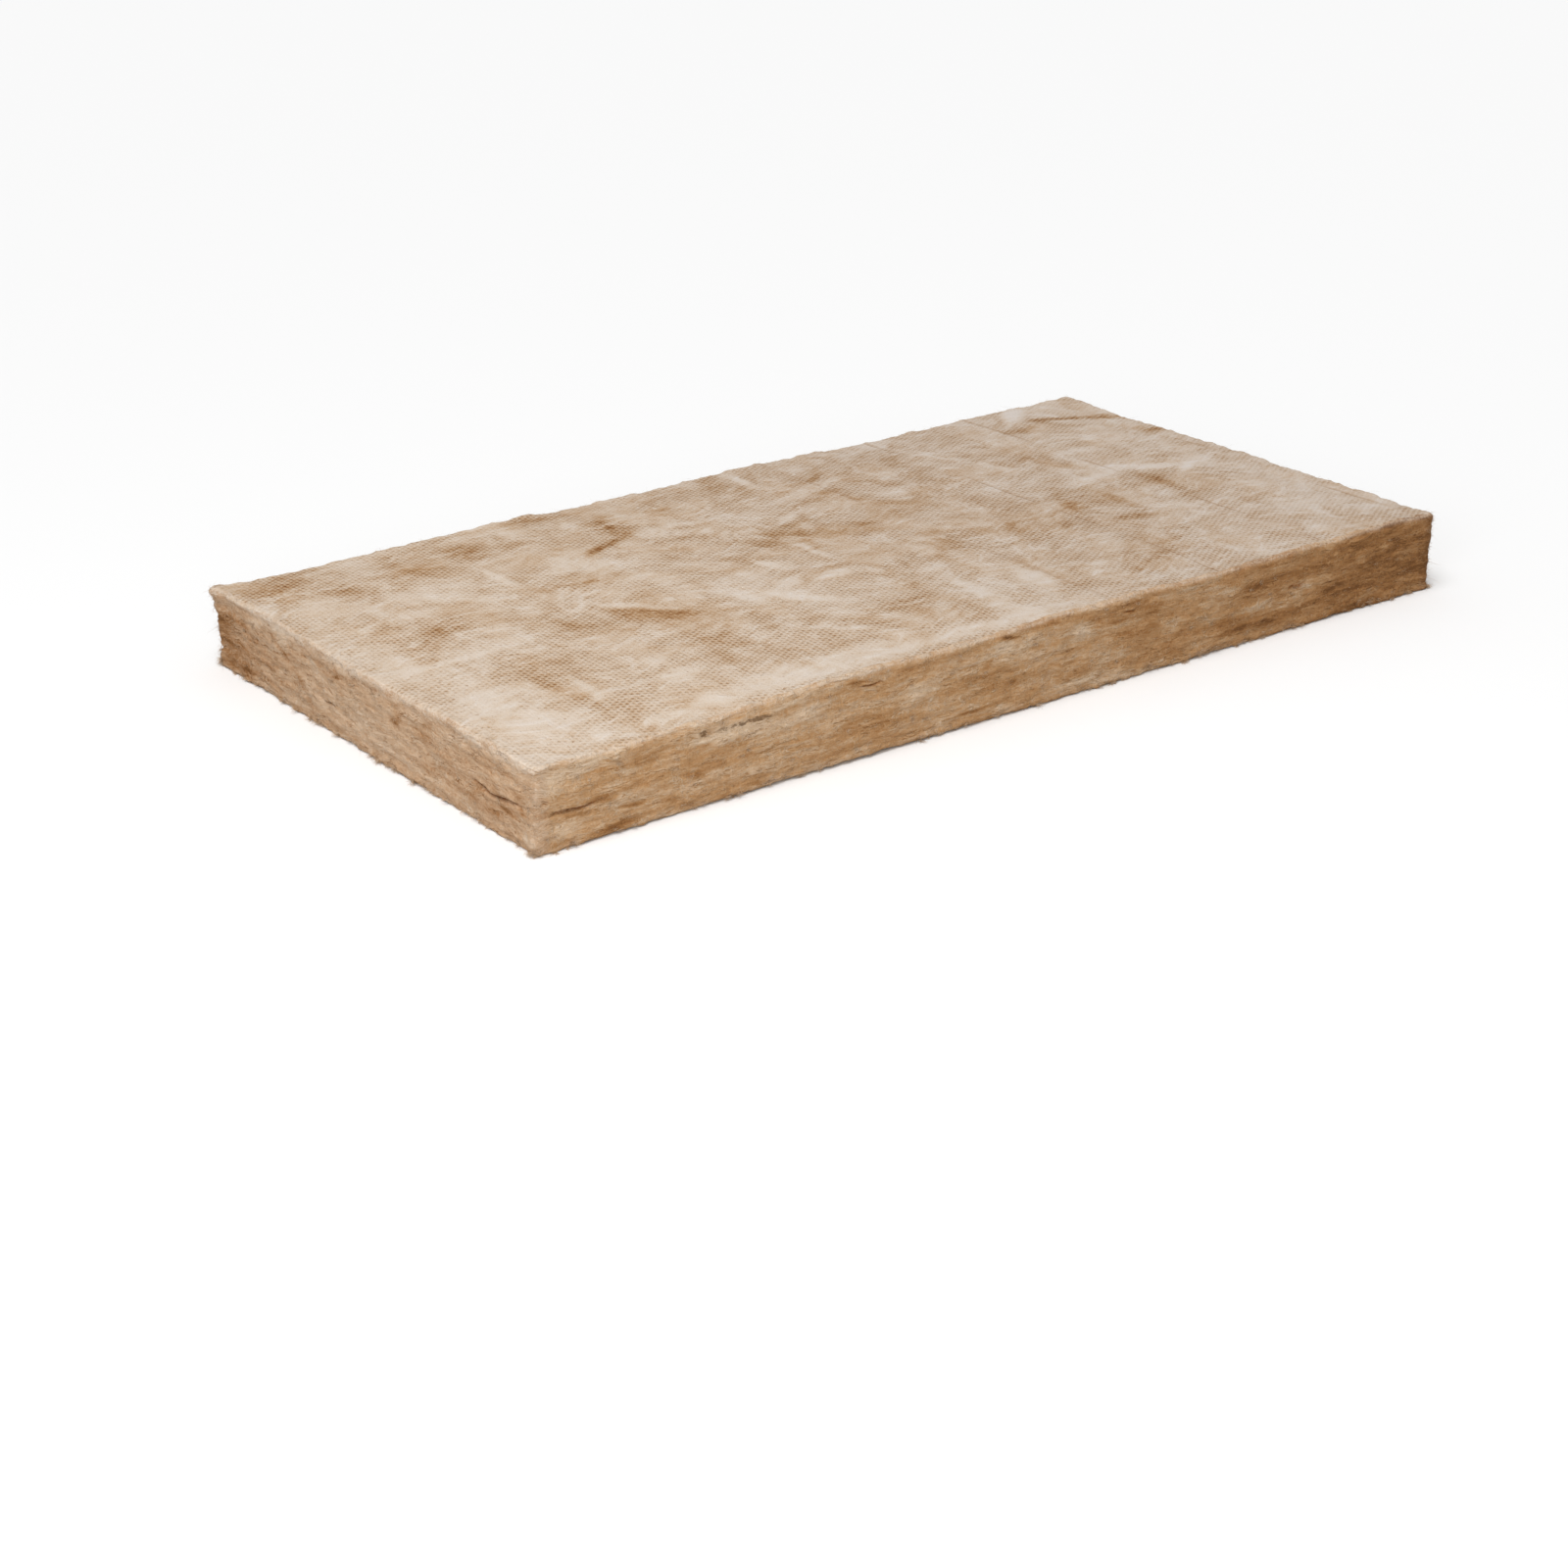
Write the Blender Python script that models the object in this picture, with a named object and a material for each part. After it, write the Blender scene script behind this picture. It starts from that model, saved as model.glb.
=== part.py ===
"""Unfaced insulation batt: one slab of bonded glass wool, lying on a broad face.

Metres, +Z up. The origin is the middle of the underside. X runs along the length and
Y across the width. The underside, the long edges, the ends and the middle of the top
face are flat. Near its edge the top face dips a little, more in some places than in
others, and its rim is soft. The wool has opened in thin splits along its layers, on one
long edge and on one end, and one upright corner has a bite.
"""

import math
from collections import namedtuple

import bmesh
import bpy
from mathutils import Vector

# The slab
LENGTH = 1.200
WIDTH = 0.600
THICKNESS = 0.086

# The soft rim round the top face. Its radius swells and shrinks along the edge.
RIM_RADIUS = 0.0042
RIM_SWELL = 0.0008
RIM_SWELL_SPACING = 0.310
RIM_RIPPLE = 0.0005
RIM_RIPPLE_SPACING = 0.130

# The shoulder: the strip along the edge where the top face dips, in slow waves
SHOULDER_WIDTH = 0.0900
DIP_LEAST = 0.0004
DIP_MOST = 0.0032
DIP_SPACING = 0.420

# The tighter edge round the underside
FOOT_RADIUS = 0.0030

# How much rounder the upright corners are than the widest rim
CORNER_EXTRA = 0.0010

# Facets. Inside the upright corners' radius, a ring keeps CORNER_LEAST of it.
RIM_STEPS = 4
SHOULDER_STEPS = 4
FOOT_STEPS = 3
CORNER_STEPS = 5
EDGE_SPACING = 0.030
SPLIT_STATIONS = 14
CORNER_LEAST = 0.0020

# Splits are gaps between the layers of wool, widest at the face and in the middle.
# place is the distance of a split's middle from its anchor: -1 is the low end of the
# face, 0 its middle and 1 its high end. depth is measured down from the top face.
Split = namedtuple("Split", "name place anchor depth length opening reach waver")
FRONT_SPLITS = (
    Split("corner_split", 0.0440, -1, 0.0505, 0.0560, 0.0028, 0.0100, 0.0012),
    Split("upper_split", -0.2150, 0, 0.0160, 0.0320, 0.0018, 0.0060, 0.0008),
    Split("small_split", 0.1300, 0, 0.0170, 0.0240, 0.0018, 0.0060, 0.0006),
    Split("torn_notch", -0.2200, 1, 0.0410, 0.0260, 0.0060, 0.0090, 0.0010),
)
END_SPLITS = (
    Split("layer_split", 0.0610, -1, 0.0475, 0.0860, 0.0034, 0.0140, 0.0026),
    Split("short_split", 0.0700, 0, 0.0560, 0.0300, 0.0016, 0.0060, 0.0008),
)
SPLIT_WAVES = 1.3
SPLIT_TIP = 0.08
CUTTER_PROUD = 0.0030

# The bite in the upright corner at the far left
BITE_HEIGHT = 0.0195
BITE_REACH = 0.0060
BITE_RISE = 0.0035

# Tan binder on pale wool
WOOL_COLOUR = (0.500, 0.370, 0.260, 1.0)
WOOL_ROUGHNESS = 0.95

CORNER_RADIUS = RIM_RADIUS + RIM_SWELL + RIM_RIPPLE + CORNER_EXTRA

# The slab's four sides, anticlockwise from above: each one's outward direction
SIDES = ((1, 0), (0, 1), (-1, 0), (0, -1))


def clear_scene():
    for obj in list(bpy.data.objects):
        bpy.data.objects.remove(obj, do_unlink=True)


def wool_material():
    material = bpy.data.materials.new("glass_wool")
    material.use_nodes = True
    shader = material.node_tree.nodes["Principled BSDF"]
    shader.inputs["Base Color"].default_value = WOOL_COLOUR
    shader.inputs["Roughness"].default_value = WOOL_ROUGHNESS
    shader.inputs["Metallic"].default_value = 0.0
    return material


def new_object(name, bm):
    mesh = bpy.data.meshes.new(name)
    bm.to_mesh(mesh)
    bm.free()
    obj = bpy.data.objects.new(name, mesh)
    bpy.context.scene.collection.objects.link(obj)
    return obj


def side_sizes(side):
    """(half the distance across the slab, half the run along this side)."""
    if SIDES[side][0]:
        return LENGTH / 2, WIDTH / 2
    return WIDTH / 2, LENGTH / 2


def stations():
    """Places round the edge, as (side, share of its straight run, share of its corner)."""
    found = []
    for side in range(len(SIDES)):
        run = 2 * side_sizes(side)[1]
        count = max(1, round(run / EDGE_SPACING))
        found += [(side, i / count, 0) for i in range(count)]
        found += [(side, 1, i / CORNER_STEPS) for i in range(CORNER_STEPS)]
    return found


def plan_point(station, inset):
    """The point of a station on the rounded rectangle that lies inset inside the outline."""
    side, run_share, corner_share = station
    across, along = side_sizes(side)
    kept = max(CORNER_RADIUS, inset + CORNER_LEAST)
    turn = math.pi / 2 * corner_share
    out = across - kept + (kept - inset) * math.cos(turn)
    on = (2 * run_share - 1) * (along - kept) + (kept - inset) * math.sin(turn)
    x, y = SIDES[side]
    return Vector((x * out - y * on, y * out + x * on, 0))


def wave(place, around, spacing):
    """From -1 to 1, with a whole number of waves round the edge, each about spacing long."""
    return math.sin(2 * math.pi * max(1, round(around / spacing)) * place / around)


def edge_profile(place, around):
    """(inset, height) from the underside's flat, up the side and over to the top's flat."""
    swell = RIM_SWELL * wave(place, around, RIM_SWELL_SPACING)
    radius = RIM_RADIUS + swell + RIM_RIPPLE * wave(place, around, RIM_RIPPLE_SPACING)
    dip = DIP_LEAST + (DIP_MOST - DIP_LEAST) * (0.5 + 0.5 * wave(place, around, DIP_SPACING))
    profile = []
    for i in range(FOOT_STEPS + 1):
        turn = math.pi / 2 * i / FOOT_STEPS
        profile.append((FOOT_RADIUS * (1 - math.sin(turn)), FOOT_RADIUS * (1 - math.cos(turn))))
    for i in range(RIM_STEPS + 1):
        turn = math.pi / 2 * i / RIM_STEPS
        height = THICKNESS - dip - radius * (1 - math.sin(turn))
        profile.append((radius * (1 - math.cos(turn)), height))
    for i in range(1, SHOULDER_STEPS + 1):
        share = i / SHOULDER_STEPS
        left = dip * (0.5 + 0.5 * math.cos(math.pi * share))
        profile.append((radius + SHOULDER_WIDTH * share, THICKNESS - left))
    return profile


def slab():
    """The slab before it splits: one ring of points for each step of the edge's profile."""
    around_edge = stations()
    outline = [plan_point(station, 0) for station in around_edge]
    places = [0.0]
    for here, there in zip(outline, outline[1:]):
        places.append(places[-1] + (there - here).length)
    around = places[-1] + (outline[0] - outline[-1]).length
    columns = [edge_profile(place, around) for place in places]
    bm = bmesh.new()
    rings = []
    for step in range(len(columns[0])):
        ring = []
        for station, column in zip(around_edge, columns):
            inset, height = column[step]
            ring.append(bm.verts.new(plan_point(station, inset) + Vector((0, 0, height))))
        rings.append(ring)
    for lower, upper in zip(rings, rings[1:]):
        for i in range(len(lower)):
            after = (i + 1) % len(lower)
            bm.faces.new((lower[i], lower[after], upper[after], upper[i]))
    bm.faces.new(reversed(rings[0]))
    bm.faces.new(rings[-1])
    obj = new_object("batt", bm)
    obj.data.materials.append(wool_material())
    return obj


def split_cutter(split, middle, along, outward):
    """A wedge along a split: open at the face, closed inside, and thin at both ends."""
    up = Vector((0, 0, 1))
    bm = bmesh.new()
    rings = []
    for i in range(SPLIT_STATIONS):
        share = i / (SPLIT_STATIONS - 1)
        fullness = SPLIT_TIP + (1 - SPLIT_TIP) * math.sin(math.pi * share)
        rise = split.waver * math.sin(2 * math.pi * SPLIT_WAVES * share)
        spot = middle + (share - 0.5) * split.length * along + rise * up
        lip = spot + CUTTER_PROUD * outward
        half_opening = split.opening / 2 * fullness * up
        tip = spot - split.reach * fullness * outward
        rings.append([bm.verts.new(p) for p in (lip + half_opening, lip - half_opening, tip)])
    for here, there in zip(rings, rings[1:]):
        for i in range(3):
            after = (i + 1) % 3
            bm.faces.new((here[i], here[after], there[after], there[i]))
    bm.faces.new(reversed(rings[0]))
    bm.faces.new(rings[-1])
    bmesh.ops.recalc_face_normals(bm, faces=bm.faces)
    return new_object(split.name, bm)


def bite_cutter():
    """A squashed ball centred on the upright corner's surface."""
    inward = Vector((1, -1, 0)).normalized()
    corner = Vector((-LENGTH / 2, WIDTH / 2, BITE_HEIGHT))
    centre = corner + CORNER_RADIUS * (math.sqrt(2) - 1) * inward
    bm = bmesh.new()
    bmesh.ops.create_icosphere(bm, subdivisions=2, radius=1.0)
    bmesh.ops.scale(bm, vec=(BITE_REACH, BITE_REACH, BITE_RISE), verts=bm.verts)
    bmesh.ops.translate(bm, vec=centre, verts=bm.verts)
    return new_object("corner_bite", bm)


def cut(body, cutter):
    cutter.hide_render = True
    cutter.display_type = "WIRE"
    modifier = body.modifiers.new(cutter.name, "BOOLEAN")
    modifier.operation = "DIFFERENCE"
    modifier.solver = "EXACT"
    modifier.object = cutter


def main():
    clear_scene()
    batt = slab()
    for split in FRONT_SPLITS:
        x = split.anchor * LENGTH / 2 + split.place
        middle = Vector((x, -WIDTH / 2, THICKNESS - split.depth))
        cut(batt, split_cutter(split, middle, Vector((1, 0, 0)), Vector((0, -1, 0))))
    for split in END_SPLITS:
        y = split.anchor * WIDTH / 2 + split.place
        middle = Vector((-LENGTH / 2, y, THICKNESS - split.depth))
        cut(batt, split_cutter(split, middle, Vector((0, 1, 0)), Vector((-1, 0, 0))))
    cut(batt, bite_cutter())


main()
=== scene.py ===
"""Looks of an unfaced insulation batt: a slab of bonded glass wool with its loose fibres.

Laid out as a Blender add-on and run as a script, it also builds a pale stage. Metres, +Z up, in the
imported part's own frame: X runs along the slab's length, Y across its width, and the underside lies
at the frame's lowest height.
"""

import functools
import itertools
import math
from collections import namedtuple

import bpy
import numpy as np
from bpy.props import FloatProperty, FloatVectorProperty, IntProperty, PointerProperty
from mathutils import Matrix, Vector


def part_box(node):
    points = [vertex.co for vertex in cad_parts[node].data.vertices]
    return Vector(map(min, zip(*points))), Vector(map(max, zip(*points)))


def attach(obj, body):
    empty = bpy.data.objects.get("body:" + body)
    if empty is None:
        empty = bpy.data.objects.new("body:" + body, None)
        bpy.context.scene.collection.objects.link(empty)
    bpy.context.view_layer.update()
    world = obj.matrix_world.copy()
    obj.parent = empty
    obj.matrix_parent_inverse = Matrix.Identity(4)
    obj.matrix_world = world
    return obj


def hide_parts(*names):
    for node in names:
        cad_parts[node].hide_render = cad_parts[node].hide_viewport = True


bl_info = {
    "name": "Insulation Batt",
    "version": (1, 0, 0),
    "blender": (4, 5, 0),
    "location": "3D View > Sidebar > Batt",
    "description": "Builds a slab of bonded glass wool with its loose fibres, and a pale stage",
    "category": "Add Mesh",
}

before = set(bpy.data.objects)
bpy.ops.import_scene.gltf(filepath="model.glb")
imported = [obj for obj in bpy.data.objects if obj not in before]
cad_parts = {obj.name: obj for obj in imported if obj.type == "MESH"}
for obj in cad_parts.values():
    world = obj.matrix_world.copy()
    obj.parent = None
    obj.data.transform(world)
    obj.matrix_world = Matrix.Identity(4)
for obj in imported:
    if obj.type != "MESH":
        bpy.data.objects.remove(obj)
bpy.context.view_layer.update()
SLAB_LOW, SLAB_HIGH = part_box("batt")
HALF_LENGTH = (SLAB_HIGH.x - SLAB_LOW.x) / 2
HALF_WIDTH = (SLAB_HIGH.y - SLAB_LOW.y) / 2
THICKNESS = SLAB_HIGH.z - SLAB_LOW.z
BODY = "root"
MM = 0.001
UPWARD = np.array([0.0, 0.0, 1.0])
LEVEL = np.array([1.0, 1.0, 0.0])

# TINY is added to a direction that could be nothing, and a length that divides is at least LEAST_LENGTH
TINY = 1e-9
LEAST_LENGTH = 1e-12

# A point is on the side of the slab whose outward direction it shares to more than this cosine
FACING = 0.7

# The edge's shape, as in the solid, but rounder, as the loose wool is. The foot is ragged up to its height,
# and stands off the floor less within CORNER_CALM of an upright corner.
CORNER_RADIUS = 0.0078
RIM_RADIUS = 0.0055
RIM_SWELL = 0.0008
RIM_SWELL_SPACING = 0.310
SHOULDER_WIDTH = 0.090
DIP_LEAST = 0.0004
DIP_MOST = 0.0032
DIP_SPACING = 0.420
FOOT_RADIUS = 0.0030
FOOT_RAGGED = 0.0026
FOOT_LIFT = 0.0036
FOOT_LIFT_REACH = 0.006
FOOT_HEIGHT = 0.016
CORNER_CALM = 0.05
RIM_LUMPS = 0.0022
FRINGE_HEIGHT = 0.008

# How far in under the foot the underside is flat and plain
UNDERSIDE_PLAIN = 0.003

# How far the free top face swells above the solid: at the ends, in the middle, and more along the front edge
LOFT_ENDS = 0.0012
LOFT_MIDDLE = 0.0036
LOFT_FRONT = 0.0042

# The rim's slow rise and fall
RIM_WAVE = 0.0024

# How far slow noise bends the pattern of the tufts and folds
SWIRL = 0.018

# The lattice's noise repeats after this many cells, and this factor brings it to about -1 to 1
LATTICE_CELLS = 256
LATTICE_GAIN = 1.7

# Where the foot arches off the floor along the front edge: its middle, its half length and its height
ARCH_PLACE = -0.25
ARCH_REACH = 0.20
ARCH_RISE = 0.0028

# How far in from the edge, in millimetres, the cut edge's look reaches over the rim: on most of the
# edge, and where it reaches furthest, in the middle of the front edge. The line between the two looks
# wanders, and is blurred over twice WRAP_BLUR.
WRAP = 2.5
WRAP_FRONT = 5.0
WRAP_WANDER = 5.0
WRAP_BLUR = 4.0

# The far-left upright corner, from its foot: a curl of wool that stands out at the top, and a bite low down
CURL_PLACE = (0.005, -0.005, 0.079)
CURL_SIZE = (0.015, 0.015, 0.017)
CURL_RISE = 0.0012
CURL_PUSH = 0.0040
CURL_LUMPS = 1.2
BITE_PLACE = (0.0027, -0.0027, 0.021)
BITE_SIZE = (0.006, 0.006, 0.0032)
BITE_DEPTH = 0.0045

# Where the grid's lines lie beside an edge, in millimetres from it
EDGE_LINES = (0.0, 0.8, 1.8, 3.1, 4.7, 7.0)
UNDERSIDE_LINES = (2.5, 8.0, 20.0)

# The conveyor's imprint: dimples in columns across the slab, every other column half a pitch along
DIMPLE_PITCH = 0.0065
DIMPLE_COLUMN = 0.00546

# Faint straight lines across the slab, from the conveyor's slats
SLAT_FIRST = 0.238
SLAT_SPACING = 0.1562

# How matt the slab and its loose fibres are
WOOL_ROUGHNESS = 0.95
FIBRE_ROUGHNESS = 0.85

# Splits between the layers, as in the solid. place is the middle's distance from its anchor, which is
# the low end of the face at -1, its middle at 0 and its high end at 1. depth is measured down from the
# top face.
Split = namedtuple("Split", "place anchor depth length opening reach waver")
FRONT_SPLITS = (
    Split(0.0440, -1, 0.0505, 0.0560, 0.0028, 0.0100, 0.0012),
    Split(-0.2150, 0, 0.0160, 0.0320, 0.0018, 0.0060, 0.0008),
    Split(0.1300, 0, 0.0170, 0.0240, 0.0018, 0.0060, 0.0006),
    Split(-0.2200, 1, 0.0410, 0.0260, 0.0060, 0.0090, 0.0010),
)
END_SPLITS = (
    Split(0.0610, -1, 0.0475, 0.0860, 0.0034, 0.0140, 0.0026),
    Split(0.0700, 0, 0.0560, 0.0300, 0.0016, 0.0060, 0.0008),
)
SPLIT_WAVES = 1.3

# How a split shows in the loose surface: the share of its depth that gapes, and how far its lips swell
# out, at that many half openings from its line
SPLIT_GAPE = 0.35
LIP_SWELL = 0.0009
LIP_PLACE = 2.4

# The grid's rows draw together at a split, by this share at its line and less over this distance
GATHER_SHARE = 0.72
GATHER_SPREAD = 0.009

# Patches of wool that are darker or paler than the rest. On the top face, along is from
# the low-X end and down is from the back edge. On a cut edge, along is from the low-X end or from the
# back, and down is from the top. All are millimetres, turn is degrees from along towards down, and tone
# is below 0 where brown and above it where pale.
Patch = namedtuple("Patch", "along down half_length half_width turn tone")


def patches(*rows):
    """The rows of numbers as patches."""
    return [Patch(*row) for row in rows]


TOP_PATCHES = patches(
    (46, 50, 48, 40, 0, -0.9), (100, 98, 30, 11, 60, -0.8), (54, 88, 45, 12, 5, -0.5),
    (181, 46, 35, 12, 90, -0.7), (202, 92, 28, 14, 0, -0.6), (265, 73, 45, 20, 70, -0.8),
    (385, 19, 50, 12, 5, -0.6), (431, 92, 38, 19, 100, -1.4), (388, 144, 30, 7, -28, -1.9),
    (508, 85, 32, 20, 60, -0.5), (615, 46, 40, 20, 90, -0.6), (715, 85, 35, 15, -40, -0.6),
    (769, 146, 45, 12, 50, -0.7), (808, 85, 35, 22, 0, -0.5), (492, 185, 55, 25, -15, -0.4),
    (592, 223, 50, 28, -20, -0.8), (661, 154, 60, 7, -20, -0.6), (569, 285, 35, 11, 90, -0.6),
    (638, 262, 45, 22, 10, -0.6), (761, 231, 25, 15, -40, -0.5), (777, 369, 40, 30, 0, -0.5),
    (285, 231, 40, 12, 0, -0.6), (315, 233, 8, 5, 0, -1.2), (127, 254, 35, 22, 0, -0.6),
    (308, 342, 60, 26, 50, -0.9), (231, 323, 28, 10, 60, -0.6), (346, 369, 30, 15, 20, -0.6),
    (123, 461, 60, 8, 85, -0.5), (323, 454, 50, 14, 60, -0.5), (508, 492, 45, 28, -10, -0.7),
    (477, 269, 28, 10, 60, -0.5), (531, 240, 22, 14, 60, -0.3), (661, 385, 35, 8, -50, -0.5),
    (815, 538, 60, 8, -15, -0.6), (892, 331, 50, 10, -65, -0.8), (912, 415, 35, 10, 15, -0.8),
    (946, 362, 40, 10, 100, -0.8), (985, 208, 40, 18, 60, -0.6), (962, 308, 60, 30, 0, -0.4),
    (1031, 338, 55, 12, 95, -0.8), (1077, 369, 45, 40, 0, -0.4), (1127, 73, 48, 7, 18, -1.8),
    (1177, 96, 28, 8, 15, -1.6), (1177, 162, 16, 12, 60, -1.3), (1046, 85, 35, 12, -10, -0.5),
    (1085, 27, 38, 12, -45, 1.7), (1062, 285, 35, 9, 30, 1.3), (1031, 269, 40, 8, -10, 0.8),
    (1092, 315, 25, 7, -30, 1.2), (962, 281, 45, 9, -8, 0.7), (915, 177, 30, 8, 70, 0.7),
    (458, 400, 50, 9, 50, 1.3), (419, 369, 22, 8, 80, 1.0), (469, 369, 35, 28, 0, 0.5),
    (308, 319, 55, 6, 50, 1.2), (265, 308, 20, 8, 80, 0.9), (612, 500, 70, 12, 92, 1.0),
    (685, 500, 35, 16, 100, 1.2), (531, 365, 16, 9, 10, 1.1), (231, 496, 22, 16, 0, 1.1),
    (142, 469, 45, 5, 100, 0.8), (242, 154, 32, 6, 88, 1.1), (154, 162, 70, 30, 0, 0.4),
    (100, 331, 45, 7, 0, 0.7), (58, 431, 18, 16, 0, 0.7), (52, 495, 62, 62, 0, 0.62),
    (331, 554, 110, 14, -3, 0.7), (431, 492, 60, 7, 45, 0.6), (646, 46, 40, 8, 95, 0.9),
    (700, 115, 45, 12, -25, 0.8), (477, 131, 45, 16, -30, 0.6), (604, 188, 22, 9, -30, 0.9),
    (604, 231, 18, 8, -50, 0.9), (492, 296, 28, 7, 70, 0.9), (558, 285, 38, 7, 95, 0.9),
    (727, 277, 20, 14, 0, 0.6), (769, 185, 35, 25, 0, 0.4), (738, 323, 45, 8, 20, 0.6),
    (346, 185, 45, 25, 20, 0.5), (192, 204, 45, 8, 40, 0.4), (331, 46, 30, 12, 80, 0.5),
    (70, 545, 100, 45, 0, 0.12), (430, 572, 400, 12, 0, 0.8), (40, 300, 30, 200, 0, 0.4),
    (1110, 300, 130, 300, 0, 0.3), (760, 300, 130, 260, 0, -0.15),
)
FRONT_PATCHES = patches(
    (221, 18, 60, 7.5, 0, 1.2), (45, 54, 32, 2.7, 8, -1.0), (71, 47, 10, 5.4, 0, -0.8),
    (108, 62, 16, 2.1, 3, -1.3), (150, 67, 9, 3.2, 0, -1.0), (190, 24, 6, 2.1, 0, -1.0),
    (177, 51, 8, 3.2, 0, -0.9), (87, 78, 30, 3.2, -6, -1.3), (73, 19, 9, 2.1, 5, -0.8),
    (19, 20, 13, 8.6, 0, 0.8), (33, 68, 15, 7.5, 0, 0.8), (370, 4, 13, 2.1, 5, -1.4),
    (563, 2, 12, 2.4, 8, -2.2), (554, 11, 15, 6.4, 0, 1.0), (450, 33, 18, 6.4, 0, 1.0),
    (308, 19, 30, 8.6, 0, 0.7), (528, 22, 50, 1.6, -4, -1.0), (536, 24, 6, 3.2, -20, -1.0),
    (400, 53, 28, 1.6, 2, -0.9), (520, 70, 20, 1.7, 1, -1.6), (569, 51, 6, 3.2, 0, -1.0),
    (658, 17, 12, 9.7, 0, 1.0), (733, 3, 16, 2.1, 0, -1.0), (765, 20, 13, 2.1, 0, -1.0),
    (710, 18, 16, 3.2, 0, -0.7), (646, 37, 16, 3.2, 0, -0.7), (652, 63, 20, 6.4, 0, -0.7),
    (811, 41, 13, 6.4, 0, -0.6), (869, 55, 18, 5.4, 5, -0.9), (885, 67, 28, 5.4, 0, -0.9),
    (802, 39, 15, 3.2, 0, 0.7), (856, 30, 20, 6.4, 0, 0.6), (1035, 49, 22, 6.4, 0, -0.7),
    (912, 49, 20, 4.3, 0, 0.8), (952, 56, 15, 2.1, 0, 0.8), (1079, 27, 9, 5.4, 0, 0.8),
    # The first patch on the next line is painted shade: it darkens the whole high-X end of the front edge,
    # away from the lamps
    (1160, 39, 110, 36.5, 0, -0.6), (1133, 15, 10, 2.1, 5, -0.8), (938, 68, 11, 3.2, 10, -0.9),
)
END_PATCHES = patches(
    # The first patch on the next line is painted shade: it darkens the end's part nearest the back edge,
    # where shade falls
    (10, 48, 95, 43, 0, -0.9), (15, 30, 25, 8.6, 0, -0.8), (63, 74, 11, 5.4, 0, -0.9),
    (23, 53, 13, 2.1, 3, -0.9), (55, 24, 32, 2.1, 0, -0.6), (125, 19, 14, 2.1, 25, -0.8),
    (140, 29, 16, 2.1, 20, -0.8), (160, 17, 6, 3.2, -30, -1.1), (186, 20, 4, 4.3, 90, -0.9),
    (177, 48, 9, 4.3, 0, -1.0), (115, 54, 15, 2.7, 5, -0.9), (250, 22, 7, 1.7, -25, -1.2),
    (255, 38, 14, 1.5, 0, -0.7), (85, 14, 20, 5.4, -5, 0.9), (142, 6, 16, 8.6, 0, 0.9),
    (256, 5, 12, 3.2, -20, 0.9), (367, 26, 12, 6.4, -35, -0.8), (360, 34, 8, 4.3, 0, -0.9),
    (419, 18, 11, 3.2, 0, -0.9), (325, 11, 9, 3.2, 0, -0.6), (550, 55, 12, 3.2, 0, -0.9),
    (531, 64, 15, 4.3, 0, -0.6), (569, 37, 10, 3.2, 0, -0.7), (585, 75, 4, 7.5, 0, 1.6),
    (594, 78, 4, 5.4, 0, 1.2),
)
STAIN_PATCHES = patches(
    (226, 13, 34, 3, -2, 1.0), (187, 12, 5, 4, 0, 1.4), (253, 12, 12, 3, 8, 1.0),
)

# What the slab's vertices carry for its material: how far each has a cut edge's look, how pale it is, how
# much painted shade it gets in a split, how far in the stain, and how near the rim
ATTRIBUTES = ("wrap", "tone", "gap", "stain", "rim")

# The slab's grid: its points, its faces, the ring round the underside, and at each point the direction
# out of the outline, and how far it lies inside the outline, down the side and in under the foot
Grid = namedtuple("Grid", "points quads last_ring outward inset down under")

# The finished surface: cut is how far a point belongs to the cut edges, and the last five are ATTRIBUTES
Surface = namedtuple("Surface", "points normals quads last_ring cut wrap tone gap stain rim")


def settings():
    return bpy.context.scene.batt_settings


def smooth_step(value, low, high):
    """0 below low, 1 above high, and between them the smooth cubic that is level at both."""
    share = np.clip((value - low) / (high - low), 0.0, 1.0)
    return share * share * (3 - 2 * share)


def lattice_noise(points, seed):
    """Noise from about -1 to 1. Each corner of the unit cell round a point has a fixed random slope,
    and the value is the smooth blend of each corner's slope times the way from that corner to the
    point."""
    source = np.random.default_rng(seed)
    order = source.permutation(LATTICE_CELLS)
    slopes = source.normal(size=(LATTICE_CELLS, 3))
    slopes /= np.linalg.norm(slopes, axis=1, keepdims=True)
    wrap = LATTICE_CELLS - 1
    cell = np.floor(points).astype(np.int64)
    part = points - cell
    ease = part**3 * (part * (part * 6 - 15) + 10)
    total = np.zeros(len(points))
    for corner in itertools.product((0, 1), repeat=3):
        at = (cell + corner) & wrap
        pick = order[(order[(order[at[:, 0]] + at[:, 1]) & wrap] + at[:, 2]) & wrap]
        weight = np.prod(np.where(corner, ease, 1 - ease), axis=1)
        total += weight * np.einsum("ij,ij->i", slopes[pick], part - corner)
    return total * LATTICE_GAIN


def cloud(points, size, octaves, seed):
    """Lattice noise of that size in metres, one size or three, plus octaves of half the size and half
    the height."""
    total = np.zeros(len(points))
    for k in range(octaves):
        total += lattice_noise(points / np.asarray(size) * 2.0**k, seed + k) / 2.0**k
    return total / (2 - 2.0 ** (1 - octaves))


def grid_lines(half, cell):
    """Positions from -half to half: close together beside both edges, and evenly spaced between them."""
    edge = np.array(EDGE_LINES) * MM
    inner = half - edge[-1]
    count = max(2, round(2 * inner / cell))
    middle = np.linspace(-inner, inner, count + 1)
    return np.concatenate([edge[:-1] - half, middle, half - edge[-2::-1]])


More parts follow.
